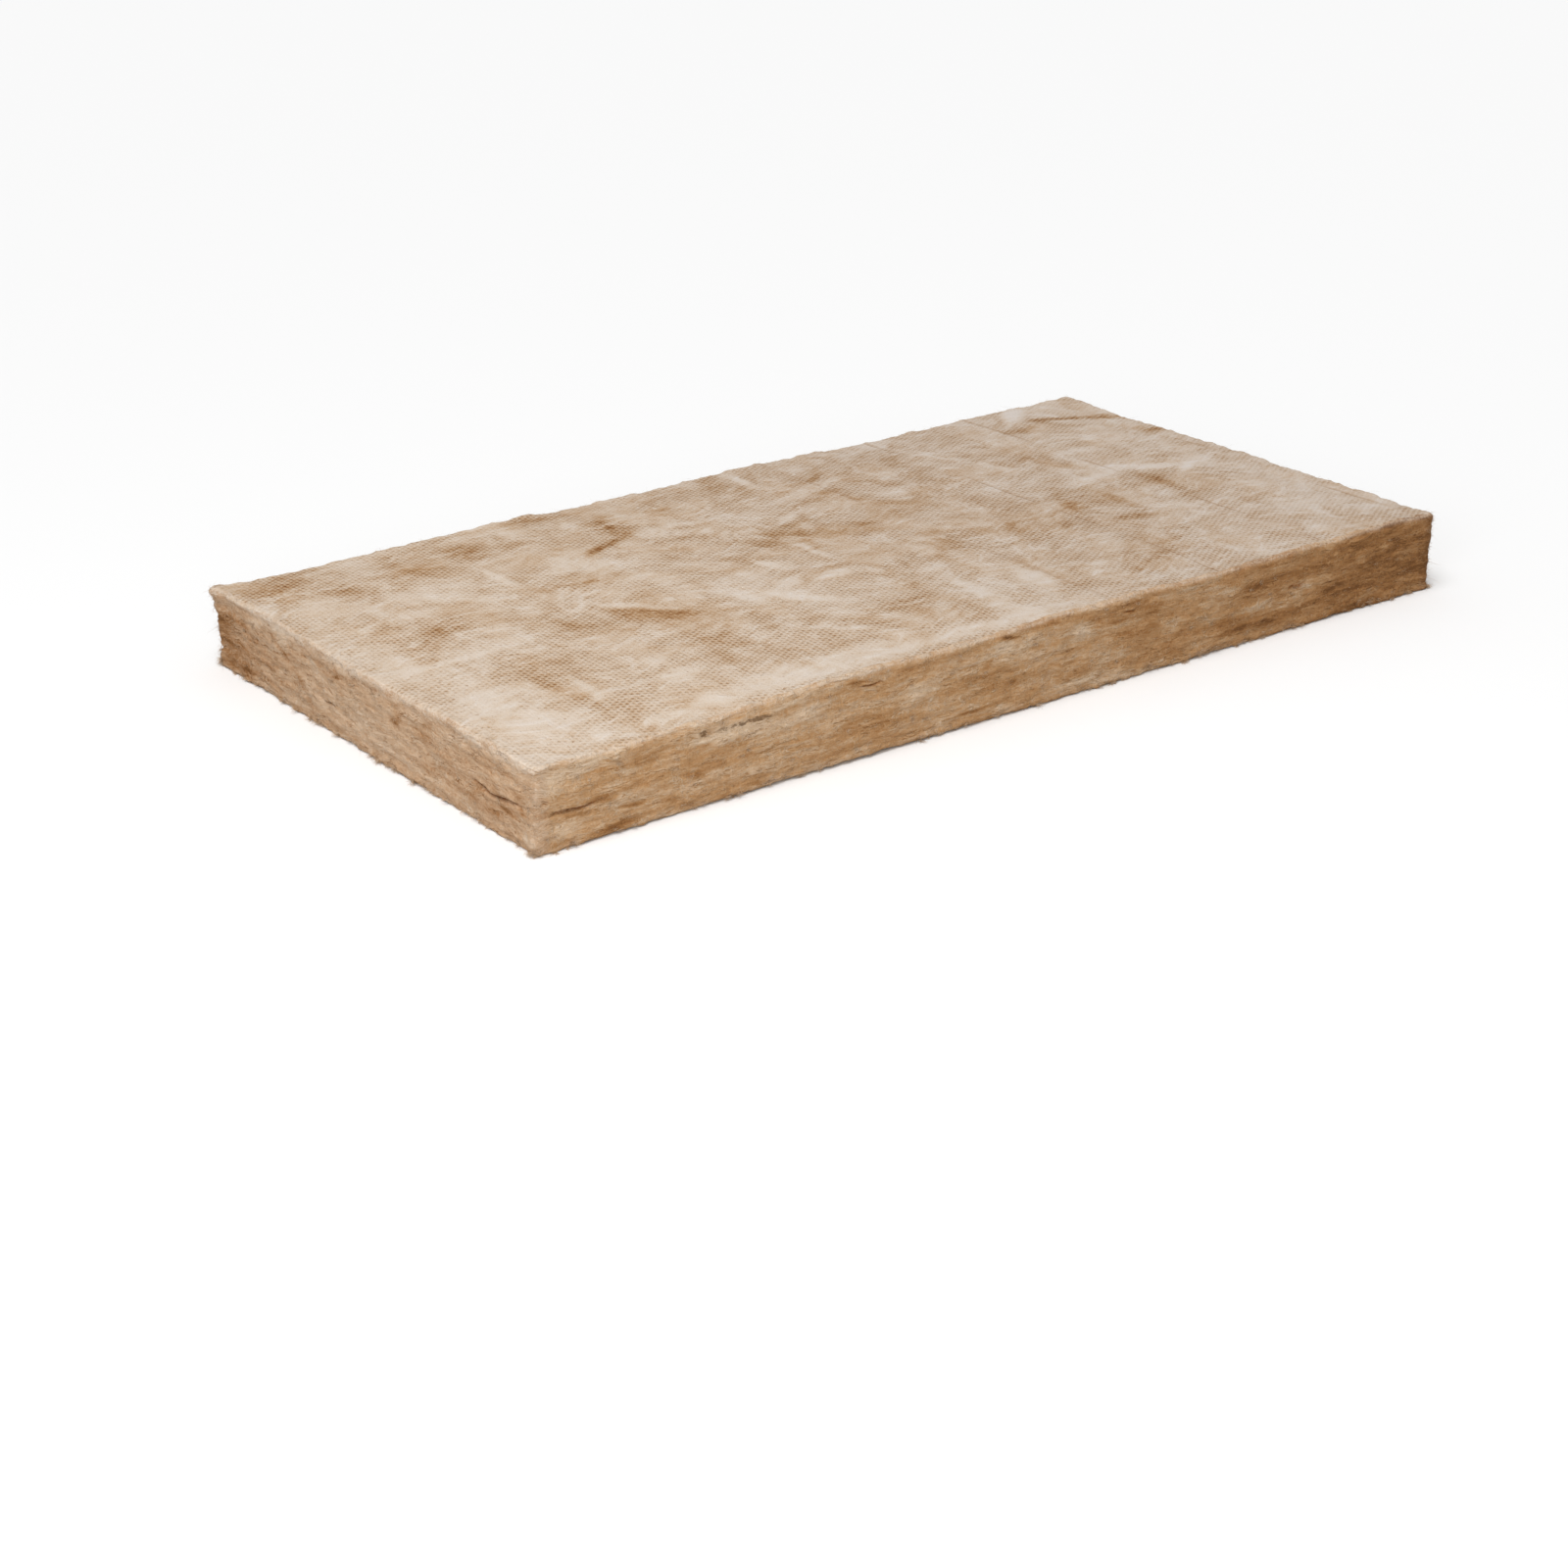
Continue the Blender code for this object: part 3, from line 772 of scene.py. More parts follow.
class Nodes:
    """A material's or a world's node tree, filled through one method."""

    def __init__(self, owner):
        owner.use_nodes = True
        self.owner = owner
        self.tree = owner.node_tree
        self.tree.nodes.clear()

    def add(self, kind, setup=None, inputs=None, outputs=(0,)):
        """Adds a node of that kind: its settings, then the values or links of its sockets. Returns the
        named outputs, or the output itself where one is named."""
        node = self.tree.nodes.new(kind)
        for name, value in (setup or {}).items():
            setattr(node, name, value)
        for name, value in (inputs or {}).items():
            if isinstance(value, Socket):
                self.tree.links.new(value.socket, node.inputs[name])
            else:
                node.inputs[name].default_value = value
        found = [Socket(self, node.outputs[name]) for name in outputs]
        return found[0] if len(found) == 1 else found

    def math(self, operation, *values):
        return self.add("ShaderNodeMath", {"operation": operation}, dict(enumerate(values)))

    def axis(self, vector, name):
        """The vector's coordinate along the axis of that name."""
        return self.add("ShaderNodeSeparateXYZ", None, {0: vector}, (name,))

    def attribute(self, name):
        return self.add("ShaderNodeAttribute", {"attribute_name": name}, None, ("Fac",))

    def noise(self, vector, scale, detail=3.0, roughness=0.55, output="Fac"):
        sockets = {"Vector": vector, "Scale": scale, "Detail": detail, "Roughness": roughness}
        return self.add("ShaderNodeTexNoise", None, sockets, (output,))

    def centred(self, vector, scale, detail=3.0, roughness=0.55):
        """Noise from about -0.5 to 0.5."""
        return self.noise(vector, scale, detail, roughness) - 0.5

    def stretched(self, vector, scales, detail=3.0, roughness=0.55):
        """Centred noise with its own scale along each axis."""
        return self.centred(self.vector("MULTIPLY", vector, scales), 1.0, detail, roughness)

    def combed(self, vector, degrees, scales):
        """Centred noise drawn out along a direction that is turned that many degrees from X."""
        sockets = {"Vector": vector, "Rotation": (0, 0, math.radians(degrees)), "Scale": scales}
        return self.centred(self.add("ShaderNodeMapping", None, sockets), 1.0, 3.0, 0.6)

    def crossing(self, noise, low, high):
        """1 where the noise crosses its middle, from within low of it, and 0 further off than high."""
        return 1 - self.step(noise.math("ABSOLUTE"), low, high)

    def vector(self, operation, a, b):
        return self.add("ShaderNodeVectorMath", {"operation": operation}, {0: a, 1: b})

    def shaken(self, vector, scale, size, detail=0.0):
        """The vector moved by noise of that scale, by half the size at most."""
        shake = self.vector("SUBTRACT", self.noise(vector, scale, detail, output="Color"), (0.5, 0.5, 0.5))
        return self.vector("ADD", vector, self.vector("MULTIPLY", shake, size))

    def step(self, value, low, high):
        """0 below low, 1 above high, and smooth between them."""
        sockets = {"Value": value, "From Min": low, "From Max": high}
        return self.add("ShaderNodeMapRange", {"interpolation_type": "SMOOTHSTEP"}, sockets)

    def ramp(self, value, stops):
        """The colour at that value, blended between the stops' positions and colours."""
        colour = self.add("ShaderNodeValToRGB", None, {0: value})
        ramp = colour.socket.node.color_ramp
        while len(ramp.elements) < len(stops):
            ramp.elements.new(1.0)
        for element, (position, shade) in zip(ramp.elements, stops):
            element.position = position
            element.color = (*shade, 1.0)
        return colour

    def between(self, share, first, second):
        """The vector that lies that share of the way from the first to the second."""
        return self.add("ShaderNodeMix", {"data_type": "VECTOR"}, {0: share, 4: first, 5: second}, (1,))

    def mix(self, share, first, second, blend="MIX"):
        setup = {"data_type": "RGBA", "blend_type": blend, "clamp_factor": True}
        return self.add("ShaderNodeMix", setup, {0: share, 6: colour_of(first), 7: colour_of(second)}, (2,))

    def finish(self, colour, height, roughness):
        """A Principled shader with that colour and, through a Bump node, that height in millimetres."""
        normal = self.add("ShaderNodeBump", None, {"Height": height, "Distance": MM, "Strength": 1.0})
        sockets = {"Base Color": colour, "Roughness": roughness, "Normal": normal, "Specular IOR Level": 0.05}
        shader = self.add("ShaderNodeBsdfPrincipled", None, sockets)
        self.add("ShaderNodeOutputMaterial", None, {"Surface": shader}, ())
        return self.owner


def colour_of(value):
    return value if isinstance(value, Socket) else (*value, 1.0)


def linear(*screen):
    """A screen colour from 0 to 255 as the linear colour that Blender works in."""
    share = np.array(screen) / 255
    curved = ((share + 0.055) / 1.055) ** 2.4
    return tuple(float(v) for v in np.where(share <= 0.04045, share / 12.92, curved))


def imprint(nodes, place):
    """From 0 between the dimples to 1 in them: the sum of three cosine waves whose crests meet at every
    dimple."""
    x = nodes.axis(place, "X")
    column = x * (2 * math.pi / DIMPLE_COLUMN)
    lean = x * (math.pi / DIMPLE_COLUMN)
    rise = nodes.axis(place, "Y") * (2 * math.pi / DIMPLE_PITCH)
    waves = column.math("COSINE") + (lean + rise).math("COSINE") + (lean - rise).math("COSINE")
    return waves * (2 / 9) + 1 / 3


def slat_marks(nodes, place):
    """1 on the faint lines that the conveyor's slats leave across the slab, and 0 off them. They show in
    places."""
    x = nodes.axis(nodes.shaken(place, 30.0, (0.003, 0, 0)), "X")
    turns = (x + (HALF_LENGTH - SLAT_FIRST)) * (1 / SLAT_SPACING) + 0.5
    away = (turns.math("FRACT") - 0.5).math("ABSOLUTE") * SLAT_SPACING
    seen = nodes.step(nodes.noise(place, 9.0, 1.0), 0.42, 0.62)
    seen = seen * (0.15 + 0.85 * nodes.step(x, -0.2, 0.3))
    return (1 - nodes.step(away, 0.0003, 0.0042)) * seen


def face_look(nodes, place, tone, colours):
    """(colour, height) of the broad faces. The binder's shade is slow mottling, swirls of combed fibre and
    tufts. The imprint is strongest where the wool is brown, and fades where it is pale. Its dimples and the
    slats' lines are darkened with painted shade, the ground between the dimples gets a slight painted
    highlight, and the high-X end is painted darker and cooler where the light falls off."""
    bent = nodes.shaken(place, 8.0, (0.08, 0.08, 0.08), 1.0)
    swirled = nodes.shaken(bent, 30.0, (0.022, 0.022, 0.022), 2.0)
    broad = nodes.centred(swirled, 12.0, 5.0, 0.64)
    tufts = nodes.centred(swirled, 44.0, 4.0, 0.66)
    combed = nodes.combed(swirled, -38, (26.0, 150.0, 60.0))
    crossed = nodes.combed(swirled, 40, (22.0, 120.0, 60.0))
    chosen = nodes.step(nodes.noise(place, 6.0, 1.0), 0.44, 0.56)
    strokes = combed * chosen + crossed * (1 - chosen)
    wisps = nodes.step(strokes, 0.07, 0.22)
    arcs = nodes.crossing(nodes.centred(swirled, 15.0, 1.0), 0.004, 0.036)
    arcs = arcs * nodes.step(broad, -0.02, 0.08)
    fine = nodes.centred(place, 560.0, 1.0, 0.7)
    shade = 0.485 + tone * 0.25 + broad * 0.66 + tufts * 0.56 + strokes * 0.52
    shade = shade + wisps * 0.16 + arcs * 0.14 + fine * 0.48
    dimple = imprint(nodes, nodes.shaken(place, 15.0, (0.0024, 0.0024, 0)))
    pressed = 0.42 + 0.58 * (1 - nodes.step(shade, 0.22, 0.66))
    pressed = pressed * (0.40 + 0.60 * nodes.step(nodes.noise(place, 15.0, 2.0), 0.36, 0.54))
    pressed = pressed * (1 - 0.75 * nodes.step(tone, 0.15, 0.80))
    # Painted shade and highlight: the colour is shifted darker in the dimples and a little paler between them
    colour = nodes.ramp(shade - (dimple - 0.4) * pressed * 0.21, (
        (0.00, colours.dark), (0.22, colours.brown), (0.45, colours.tan), (0.64, colours.pale),
        (1.00, colours.cream),
    ))
    slats = slat_marks(nodes, place)
    # Painted shade multiplied into the dimples and along the slats' lines
    colour = nodes.mix(dimple * pressed * 0.68, colour, colours.imprint_shade, "MULTIPLY")
    colour = nodes.mix(slats * 0.45, colour, colours.imprint_shade, "MULTIPLY")
    # Painted shade: the broad face is multiplied darker and cooler towards the high-X end, where the light
    # falls off
    falloff_share = nodes.step(nodes.axis(place, "X"), -0.45, 0.35)
    colour = nodes.mix(falloff_share * 0.6, colour, colours.falloff_shade, "MULTIPLY")
    specks = nodes.step(nodes.noise(place, 260.0, 1.0, 0.4), 0.72, 0.78)
    colour = nodes.mix(specks * 0.55, colour, colours.dark)
    height = tufts * 1.0 + strokes * 0.5 + fine * 0.9 - dimple * pressed * 1.3 - slats * 0.4
    return colour, height


def cut_look(nodes, place, tone, rim, colours):
    """(colour, height) of the cut edges: strata, streaks and hairs, each finer than the last and drawn out
    along the layers, with thin brown seams and pale curls where slower noise crosses its middle, and
    small pale flecks. The ends are wavier, softer and more even than the long edges."""
    from_middle = nodes.axis(place, "X").math("ABSOLUTE")
    at_end = nodes.step(from_middle, HALF_LENGTH - 20 * MM, HALF_LENGTH - 8 * MM)
    sway = nodes.between(at_end, (0.0, 0.0, 0.012), (0.0, 0.020, 0.034))
    curl = nodes.between(at_end, (0.006, 0.006, 0.0036), (0.010, 0.010, 0.010))
    layered = nodes.shaken(nodes.shaken(place, 13.0, sway, 1.0), 50.0, curl, 2.0)
    bands = nodes.stretched(layered, (9.0, 9.0, 60.0), 3.0)
    strata = nodes.stretched(layered, (24.0, 24.0, 180.0), 3.0, 0.62)
    streaks = nodes.stretched(layered, (66.0, 66.0, 430.0), 2.0, 0.65)
    frayed = nodes.shaken(layered, 150.0, (0.003, 0.003, 0.0024))
    hairs = nodes.stretched(frayed, (180.0, 180.0, 1000.0), 1.0, 0.6)
    clumps = nodes.stretched(layered, (42.0, 42.0, 105.0), 3.0, 0.64)
    wool = nodes.centred(nodes.shaken(place, 120.0, (0.006, 0.006, 0.004)), 420.0, 2.0, 0.7)
    other = nodes.stretched(layered, (34.0, 34.0, 300.0), 2.0)
    seams = nodes.crossing(strata, 0.002, 0.026) * nodes.step(clumps, 0.0, 0.10)
    cracks = nodes.crossing(other, 0.002, 0.020) * nodes.step(bands, 0.02, 0.12)
    flecks = nodes.step(nodes.stretched(place, (230.0, 230.0, 420.0), 2.0, 0.5), 0.19, 0.27)
    drift = nodes.shaken(place, 70.0, (0.020, 0.020, 0.016), 1.0)
    curls = nodes.crossing(nodes.centred(drift, 95.0, 2.0), 0.004, 0.034)
    curls = curls * nodes.step(nodes.noise(place, 40.0, 2.0), 0.47, 0.60)
    shade = 0.525 + tone * 0.27 + bands * (0.92 - at_end * 0.26) + strata * 0.34 + streaks * 0.36
    shade = shade + clumps * (0.56 - at_end * 0.24) + wool * 0.34
    shade = shade + hairs * 0.26 + curls * 0.16 - seams * 0.26 - cracks * 0.16 - at_end * 0.095
    colour = nodes.ramp(shade, (
        (0.00, colours.edge_dark), (0.22, colours.edge_brown), (0.46, colours.edge_tan),
        (0.70, colours.edge_pale), (0.98, colours.edge_cream),
    ))
    soft = rim * nodes.step(clumps + wool, -0.20, 0.22)
    faded = at_end * nodes.step(shade, 0.05, 0.60) * 0.38
    colour = nodes.mix(rim * 0.2 + soft * 0.45 + faded, colour, colours.pale)
    colour = nodes.mix(flecks * 0.5, colour, colours.edge_cream)
    height = strata * 1.0 + streaks * 0.6 + hairs * 0.3 + wool * 1.1
    height = height + clumps * (1.3 - at_end * 0.5) + curls * 0.4 - seams * 0.4 - cracks * 0.2
    return colour, height


def wool_material(colours):
    """The broad faces and the cut edges look different, and meet along a ragged line at the rim."""
    nodes = Nodes(bpy.data.materials.new("glass_wool"))
    place = nodes.add("ShaderNodeTexCoord", None, None, ("Object",))
    wrap, tone, gap, stain, rim = (nodes.attribute(name) for name in ATTRIBUTES)
    face_colour, face_height = face_look(nodes, place, tone, colours)
    edge_colour, edge_height = cut_look(nodes, place, tone, rim, colours)
    ragged = nodes.centred(place, 130.0, 3.0, 0.6)
    border = nodes.step(wrap + ragged * 0.9, 0.30, 0.70)
    colour = nodes.mix(border, face_colour, edge_colour)
    bare = rim * (1 - border) * nodes.step(ragged, -0.14, 0.14)
    colour = nodes.mix(bare * 0.55, colour, colours.pale)
    # Painted shade inside the splits, broken up by noise
    split_darkening = gap * (0.45 + 0.55 * nodes.step(nodes.noise(place, 170.0, 2.0), 0.40, 0.56))
    colour = nodes.mix(split_darkening * 0.9, colour, colours.split)
    patchy = 1.0 + nodes.stretched(place, (150.0, 150.0, 330.0), 4.0, 0.7) * 5.0
    colour = nodes.mix(nodes.step(stain * patchy, 0.35, 1.2) * 0.85, colour, colours.stain)
    height = face_height * (1 - border) + edge_height * border + rim * ragged * 2.2
    return nodes.finish(colour, height, WOOL_ROUGHNESS)


def fibre_material(name, low, high):
    """Between two colours by each fibre's own shade, with fine noise over it."""
    nodes = Nodes(bpy.data.materials.new(name))
    place = nodes.add("ShaderNodeTexCoord", None, None, ("Object",))
    grain = nodes.centred(place, 700.0, 2.0)
    shade = nodes.attribute("shade") + grain * 0.5
    colour = nodes.mix(nodes.step(shade, 0.0, 1.0), low, high)
    return nodes.finish(colour, grain * 0.2, FIBRE_ROUGHNESS)


def length_property(name, description, default):
    return FloatProperty(name=name, description=description, default=default, unit="LENGTH", precision=5)


def count_property(name, description, default):
    return IntProperty(name=name, description=description, default=default, min=1)


class BattSizes(bpy.types.PropertyGroup):
    cell: length_property("Cell", "Size of the broad face's grid cells", 0.0043)
    row: length_property("Row", "Height of the cut edges' grid rows", 0.00172)
    relief: FloatProperty(
        name="Relief", description="Share of the natural relief that the slab gets",
        default=1.0, min=0.0, max=2.0, subtype="FACTOR",
    )
    fuzz_count: count_property("Edge Fuzz", "Short hairs that stand out of the cut edges", 7000)
    clump_count: count_property("Foot Clumps", "Clumps that hang from the cut edges' feet", 300)
    clump_strands: count_property("Clump Strands", "Fibres in each clump at the foot", 20)
    layer_count: count_property("Layer Fibres", "Fibres that lie along the layers", 7000)
    wisp_count: count_property("Face Wisps", "Fibres that lie on the top face", 5000)
    tuft_count: count_property("Tufts", "Small tufts of curled fibre on the cut edges", 260)
    tuft_strands: count_property("Tuft Strands", "Fibres in each small tuft", 22)
    hair_width: length_property("Hair Width", "Half the width of a loose fibre", 0.00009)


def colour_property(name, description, *screen):
    return FloatVectorProperty(
        name=name, description=description, default=linear(*screen), subtype="COLOR", min=0.0, max=1.0,
    )


class BattColours(bpy.types.PropertyGroup):
    cream: colour_property("Cream", "Loose fibre with no binder", 207, 196, 185)
    pale: colour_property("Pale", "Fibre with little binder", 200, 184, 167)
    tan: colour_property("Tan", "The broad face's middle tone", 191, 169, 146)
    brown: colour_property("Brown", "Broad face with much binder", 170, 137, 103)
    dark: colour_property("Dark", "The darkest binder on the broad face", 132, 88, 48)
    # Painted shade for the light that falls off towards the high-X end of the broad face
    falloff_shade: colour_property("Cool", "What multiplies the broad face towards the high-X end", 240, 243, 250)
    # Painted shade in the dimples and along the slats' lines
    imprint_shade: colour_property("Press", "What multiplies the broad face in the dimples", 210, 186, 158)
    edge_cream: colour_property("Edge Cream", "The palest layers and fibres of the cut edges", 208, 187, 163)
    edge_pale: colour_property("Edge Pale", "Pale layers of the cut edges", 190, 163, 134)
    edge_tan: colour_property("Edge Tan", "The cut edges' middle tone", 172, 134, 95)
    edge_brown: colour_property("Edge Brown", "Brown layers of the cut edges", 147, 105, 65)
    edge_dark: colour_property("Edge Dark", "The darkest layers of the cut edges", 110, 74, 43)
    # Painted shade: the colour that darkens the inside of the splits
    split: colour_property("Split", "Inside of the splits", 134, 80, 34)
    stain: colour_property("Stain", "The dark stain under the rim", 108, 82, 57)


class BattStage(bpy.types.PropertyGroup):
    floor: colour_property("Floor", "The floor's colour", 235, 235, 235)
    ambient: FloatProperty(name="Ambient", description="Strength of the even light", default=0.45)
    key: FloatProperty(
        name="Key Light", description="Strength of the soft light from the upper left", default=2.35,
    )
    side: FloatProperty(
        name="Side Light", description="Power of the light near the left corner", default=10.0, unit="POWER",
    )


class BattSettings(bpy.types.PropertyGroup):
    sizes: PointerProperty(type=BattSizes)
    colours: PointerProperty(type=BattColours)
    stage: PointerProperty(type=BattStage)


def surface():
    sizes = settings().sizes
    return slab_surface(sizes.cell, sizes.row, sizes.relief)


class BATT_OT_slab(bpy.types.Operator):
    """Build the slab of wool with its relief, splits and material"""

    bl_idname = "batt.slab"
    bl_label = "Slab"

    def execute(self, context):
        made = surface()
        loops = np.concatenate([made.quads.ravel(), made.last_ring[::-1]])
        sizes = np.append(np.full(len(made.quads), 4), len(made.last_ring))
        slab = mesh_object("wool_slab", made.points, loops, sizes, sizes == 4)
        for name in ATTRIBUTES:
            set_attribute(slab, name, getattr(made, name))
        finish_piece(slab, wool_material(settings().colours))
        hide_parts("batt")
        return {"FINISHED"}


def begin(seed):
    """What a piece of fibres starts from: the sizes, the colours, the surface and its own random source."""
    groups = settings()
    return groups.sizes, groups.colours, surface(), np.random.default_rng(seed)


def pick_roots(mask, count, source, spread):
    """Random points of the surface where mask is true, each moved a little along it, with the normals and
    the tones there."""
    made = surface()
    pick = source.choice(np.flatnonzero(mask), count)
    normals = made.normals[pick]
    shift = source.uniform(-spread, spread, (count, 3))
    shift -= normals * np.einsum("ij,ij->i", shift, normals)[:, None]
    return made.points[pick] + shift, normals, made.tone[pick]


def along_layers(normals):
    """The level direction along the slab's side."""
    return unit(np.cross(normals, UPWARD) + TINY)


def shades_of(source, middle, spread, tone):
    """A shade from 0 to 1 for each fibre, random but paler where the wool is pale."""
    return np.clip(source.normal(middle, spread, len(tone)) + 0.2 * tone, 0, 1)


def strand_piece(name, shapes, shades, material):
    points, loops, sizes = shapes
    piece = mesh_object(name, points, loops, sizes)
    set_attribute(piece, "shade", np.repeat(shades, len(points) // len(shades)))
    finish_piece(piece, material)


class BATT_OT_edge_fuzz(bpy.types.Operator):
    """Build the short hairs that stand out of the cut edges, the rim and the foot"""

    bl_idname = "batt.edge_fuzz"
    bl_label = "Edge Fuzz"

    def execute(self, context):
        sizes, colours, made, source = begin(seed=31)
        mask = (made.cut > 0.2) & (made.gap < 0.3)
        roots, normals, tone = pick_roots(mask, sizes.fuzz_count, source, 0.002)
        count = len(roots)
        lean = source.normal(0, 1, (count, 1))
        rise = source.normal(-0.15, 0.35, (count, 1))
        ways = unit(0.5 * normals + along_layers(normals) * lean + UPWARD * rise)
        lengths = np.minimum(source.gamma(3.0, 0.0009, count) + 0.001, 0.008)
        widths = sizes.hair_width * source.uniform(1.0, 2.0, count)
        shapes = strands(roots - 0.0004 * normals, ways, lengths, widths, 0.35, source)
        material = fibre_material("edge_fibre", colours.edge_tan, colours.edge_cream)
        strand_piece("edge_fuzz", shapes, shades_of(source, 0.35, 0.25, tone), material)
        return {"FINISHED"}


class BATT_OT_foot_fringe(bpy.types.Operator):
    """Build the ragged clumps of fibre that hang from the cut edges' feet, each with its own lean"""

    bl_idname = "batt.foot_fringe"
    bl_label = "Foot Fringe"

    def execute(self, context):
        sizes, colours, made, source = begin(seed=83)
        height = made.points[:, 2] - SLAB_LOW.z
        mask = (made.cut > 0.3) & (height < FRINGE_HEIGHT) & (height > 0.001)
        clumps, each = sizes.clump_count, sizes.clump_strands
        count = clumps * each
        middles, normals, tone = pick_roots(mask, clumps, source, 0.001)
        lean = source.normal(0, 0.5, (clumps, 1))
        rise = source.normal(-0.25, 0.25, (clumps, 1))
        reach = np.minimum(source.gamma(4.0, 0.0013, clumps) + 0.002, 0.010)
        middles, normals, tone, lean, rise, reach = (
            np.repeat(a, each, axis=0) for a in (middles, normals, tone, lean, rise, reach)
        )
        along = along_layers(normals)
        roots = middles + along * source.normal(0, 0.0017, (count, 1)) - 0.0008 * normals
        lean = lean + source.normal(0, 0.3, (count, 1))
        ways = unit(0.8 * normals * LEVEL + along * lean + UPWARD * rise)
        lengths = reach * source.uniform(0.5, 1.0, count)
        widths = sizes.hair_width * source.uniform(1.5, 2.8, count)
        shapes = strands(roots, ways, lengths, widths, 0.4, source)
        material = fibre_material("fringe_fibre", colours.edge_tan, colours.edge_cream)
        strand_piece("foot_fringe", shapes, shades_of(source, 0.5, 0.25, tone), material)
        return {"FINISHED"}


class BATT_OT_layer_fibres(bpy.types.Operator):
    """Build the fibres that lie along the layers of the cut edges"""

    bl_idname = "batt.layer_fibres"
    bl_label = "Layer Fibres"

    def execute(self, context):
        sizes, colours, made, source = begin(seed=47)
        mask = (made.cut > 0.8) & (made.gap < 0.3)
        roots, normals, tone = pick_roots(mask, sizes.layer_count, source, 0.002)
        count = len(roots)
        along = along_layers(normals) * source.choice([-1, 1], (count, 1))
        ways = unit(along + 0.03 * normals + UPWARD * source.normal(0, 0.12, (count, 1)))
        lengths = np.minimum(source.gamma(3.0, 0.0028, count) + 0.003, 0.022)
        widths = sizes.hair_width * source.uniform(0.9, 1.9, count)
        shapes = strands(roots, ways, lengths, widths, 0.10, source)
        material = fibre_material("layer_fibre", colours.edge_tan, colours.edge_pale)
        strand_piece("layer_fibres", shapes, shades_of(source, 0.6, 0.25, tone), material)
        return {"FINISHED"}


class BATT_OT_face_wisps(bpy.types.Operator):
    """Build the fibres that lie on the top face"""

    bl_idname = "batt.face_wisps"
    bl_label = "Face Wisps"

    def execute(self, context):
        sizes, colours, made, source = begin(seed=59)
        mask = (made.cut < 0.1) & (made.normals[:, 2] > FACING)
        roots, normals, tone = pick_roots(mask, sizes.wisp_count, source, 0.003)
        count = len(roots)
        turn = source.normal(math.radians(35), 0.7, count)
        ways = unit(np.stack([np.cos(turn), np.sin(turn), 0.02 * source.normal(size=count)], -1))
        lengths = np.minimum(source.gamma(3.0, 0.0028, count) + 0.002, 0.020)
        widths = sizes.hair_width * source.uniform(0.4, 1.0, count)
        shapes = strands(roots + 0.0001 * normals, ways, lengths, widths, 0.12, source)
        material = fibre_material("face_fibre", colours.tan, colours.cream)
        strand_piece("face_wisps", shapes, shades_of(source, 0.5, 0.25, tone), material)
        return {"FINISHED"}


class BATT_OT_tufts(bpy.types.Operator):
    """Build the small tufts that sit in the cut edges, each a cluster of short bent strands"""

    bl_idname = "batt.tufts"
    bl_label = "Tufts"

    def execute(self, context):
        sizes, colours, made, source = begin(seed=71)
        mask = (made.cut > 0.9) & (made.gap < 0.2)
        each = sizes.tuft_strands
        roots = pick_roots(mask, sizes.tuft_count, source, 0.002)
        middles, normals, tone = (np.repeat(a, each, axis=0) for a in roots)
        count = len(middles)
        along = along_layers(normals)
        spread = source.normal(0, 0.0016, (count, 1)) * along
        spread = spread + source.normal(0, 0.0006, (count, 1)) * UPWARD
        lean = source.normal(0, 1, (count, 1))
        rise = source.normal(0, 0.45, (count, 1))
        ways = unit(0.25 * normals + along * lean + UPWARD * rise)
        lengths = source.uniform(0.0015, 0.0045, count)
        widths = sizes.hair_width * source.uniform(1.2, 2.4, count)
        shapes = strands(middles + spread, ways, lengths, widths, 0.7, source)
        material = fibre_material("tuft_fibre", colours.edge_tan, colours.edge_cream)
        strand_piece("tufts", shapes, shades_of(source, 0.6, 0.2, tone), material)
        return {"FINISHED"}


# The soft light like a low sun seen through cloud, and a lamp near the left corner
KEY_PLACE = (-1.00, -0.52, 2.65)
KEY_TARGET = (0.0, 0.0, 0.0)
KEY_ANGLE = math.radians(40)
SIDE_PLACE = (-1.5, -1.3, 0.8)
SIDE_TARGET = (-0.4, -0.3, 0.04)
SIDE_SIZE = 0.9

# The photograph's camera: where it stands, how it turns, and its lens on a 36 mm sensor
CAMERA_PLACE = (-1.8647, -2.2805, 1.0918)
CAMERA_AZIMUTH = -37.961
CAMERA_ELEVATION = 23.508
CAMERA_ROLL = 0.424
CAMERA_LENS = 66.31
CAMERA_REACH = 100.0

FLOOR_RADIUS = 30.0
FLOOR_SIDES = 96


def placed(name, data, columns):
    """A new object with that data, whose matrix has those columns: its axes and its place."""
    obj = bpy.data.objects.new(name, data)
    obj.matrix_world = Matrix([*np.column_stack(columns).tolist(), [0, 0, 0, 1]])
    bpy.context.scene.collection.objects.link(obj)
    return obj


def add_camera():
    """The camera looks along its azimuth and down by its elevation, and is rolled about that line."""
    azimuth = math.radians(CAMERA_AZIMUTH)
    elevation = math.radians(CAMERA_ELEVATION)
    roll = math.radians(CAMERA_ROLL)
    level = math.cos(elevation)
    look = np.array([-math.sin(azimuth) * level, math.cos(azimuth) * level, -math.sin(elevation)])
    right = unit(np.cross(look, (0, 0, 1)))
    up = np.cross(right, look)
    rolled_right = right * math.cos(roll) + up * math.sin(roll)
    rolled_up = up * math.cos(roll) - right * math.sin(roll)
    data = bpy.data.cameras.new("camera")
    data.lens = CAMERA_LENS
    data.clip_end = CAMERA_REACH
    axes = (rolled_right, rolled_up, -look, CAMERA_PLACE)
    bpy.context.scene.camera = placed("camera", data, axes)


def add_light(kind, name, place, target, strength, **shape):
    """A light at that place, turned towards the target."""
    data = bpy.data.lights.new(name, kind)
    data.energy = strength
    for setting, value in shape.items():
        setattr(data, setting, value)
    back = unit(np.subtract(place, target))
    right = unit(np.cross(UPWARD, back))
    placed(name, data, (right, np.cross(back, right), back, place))


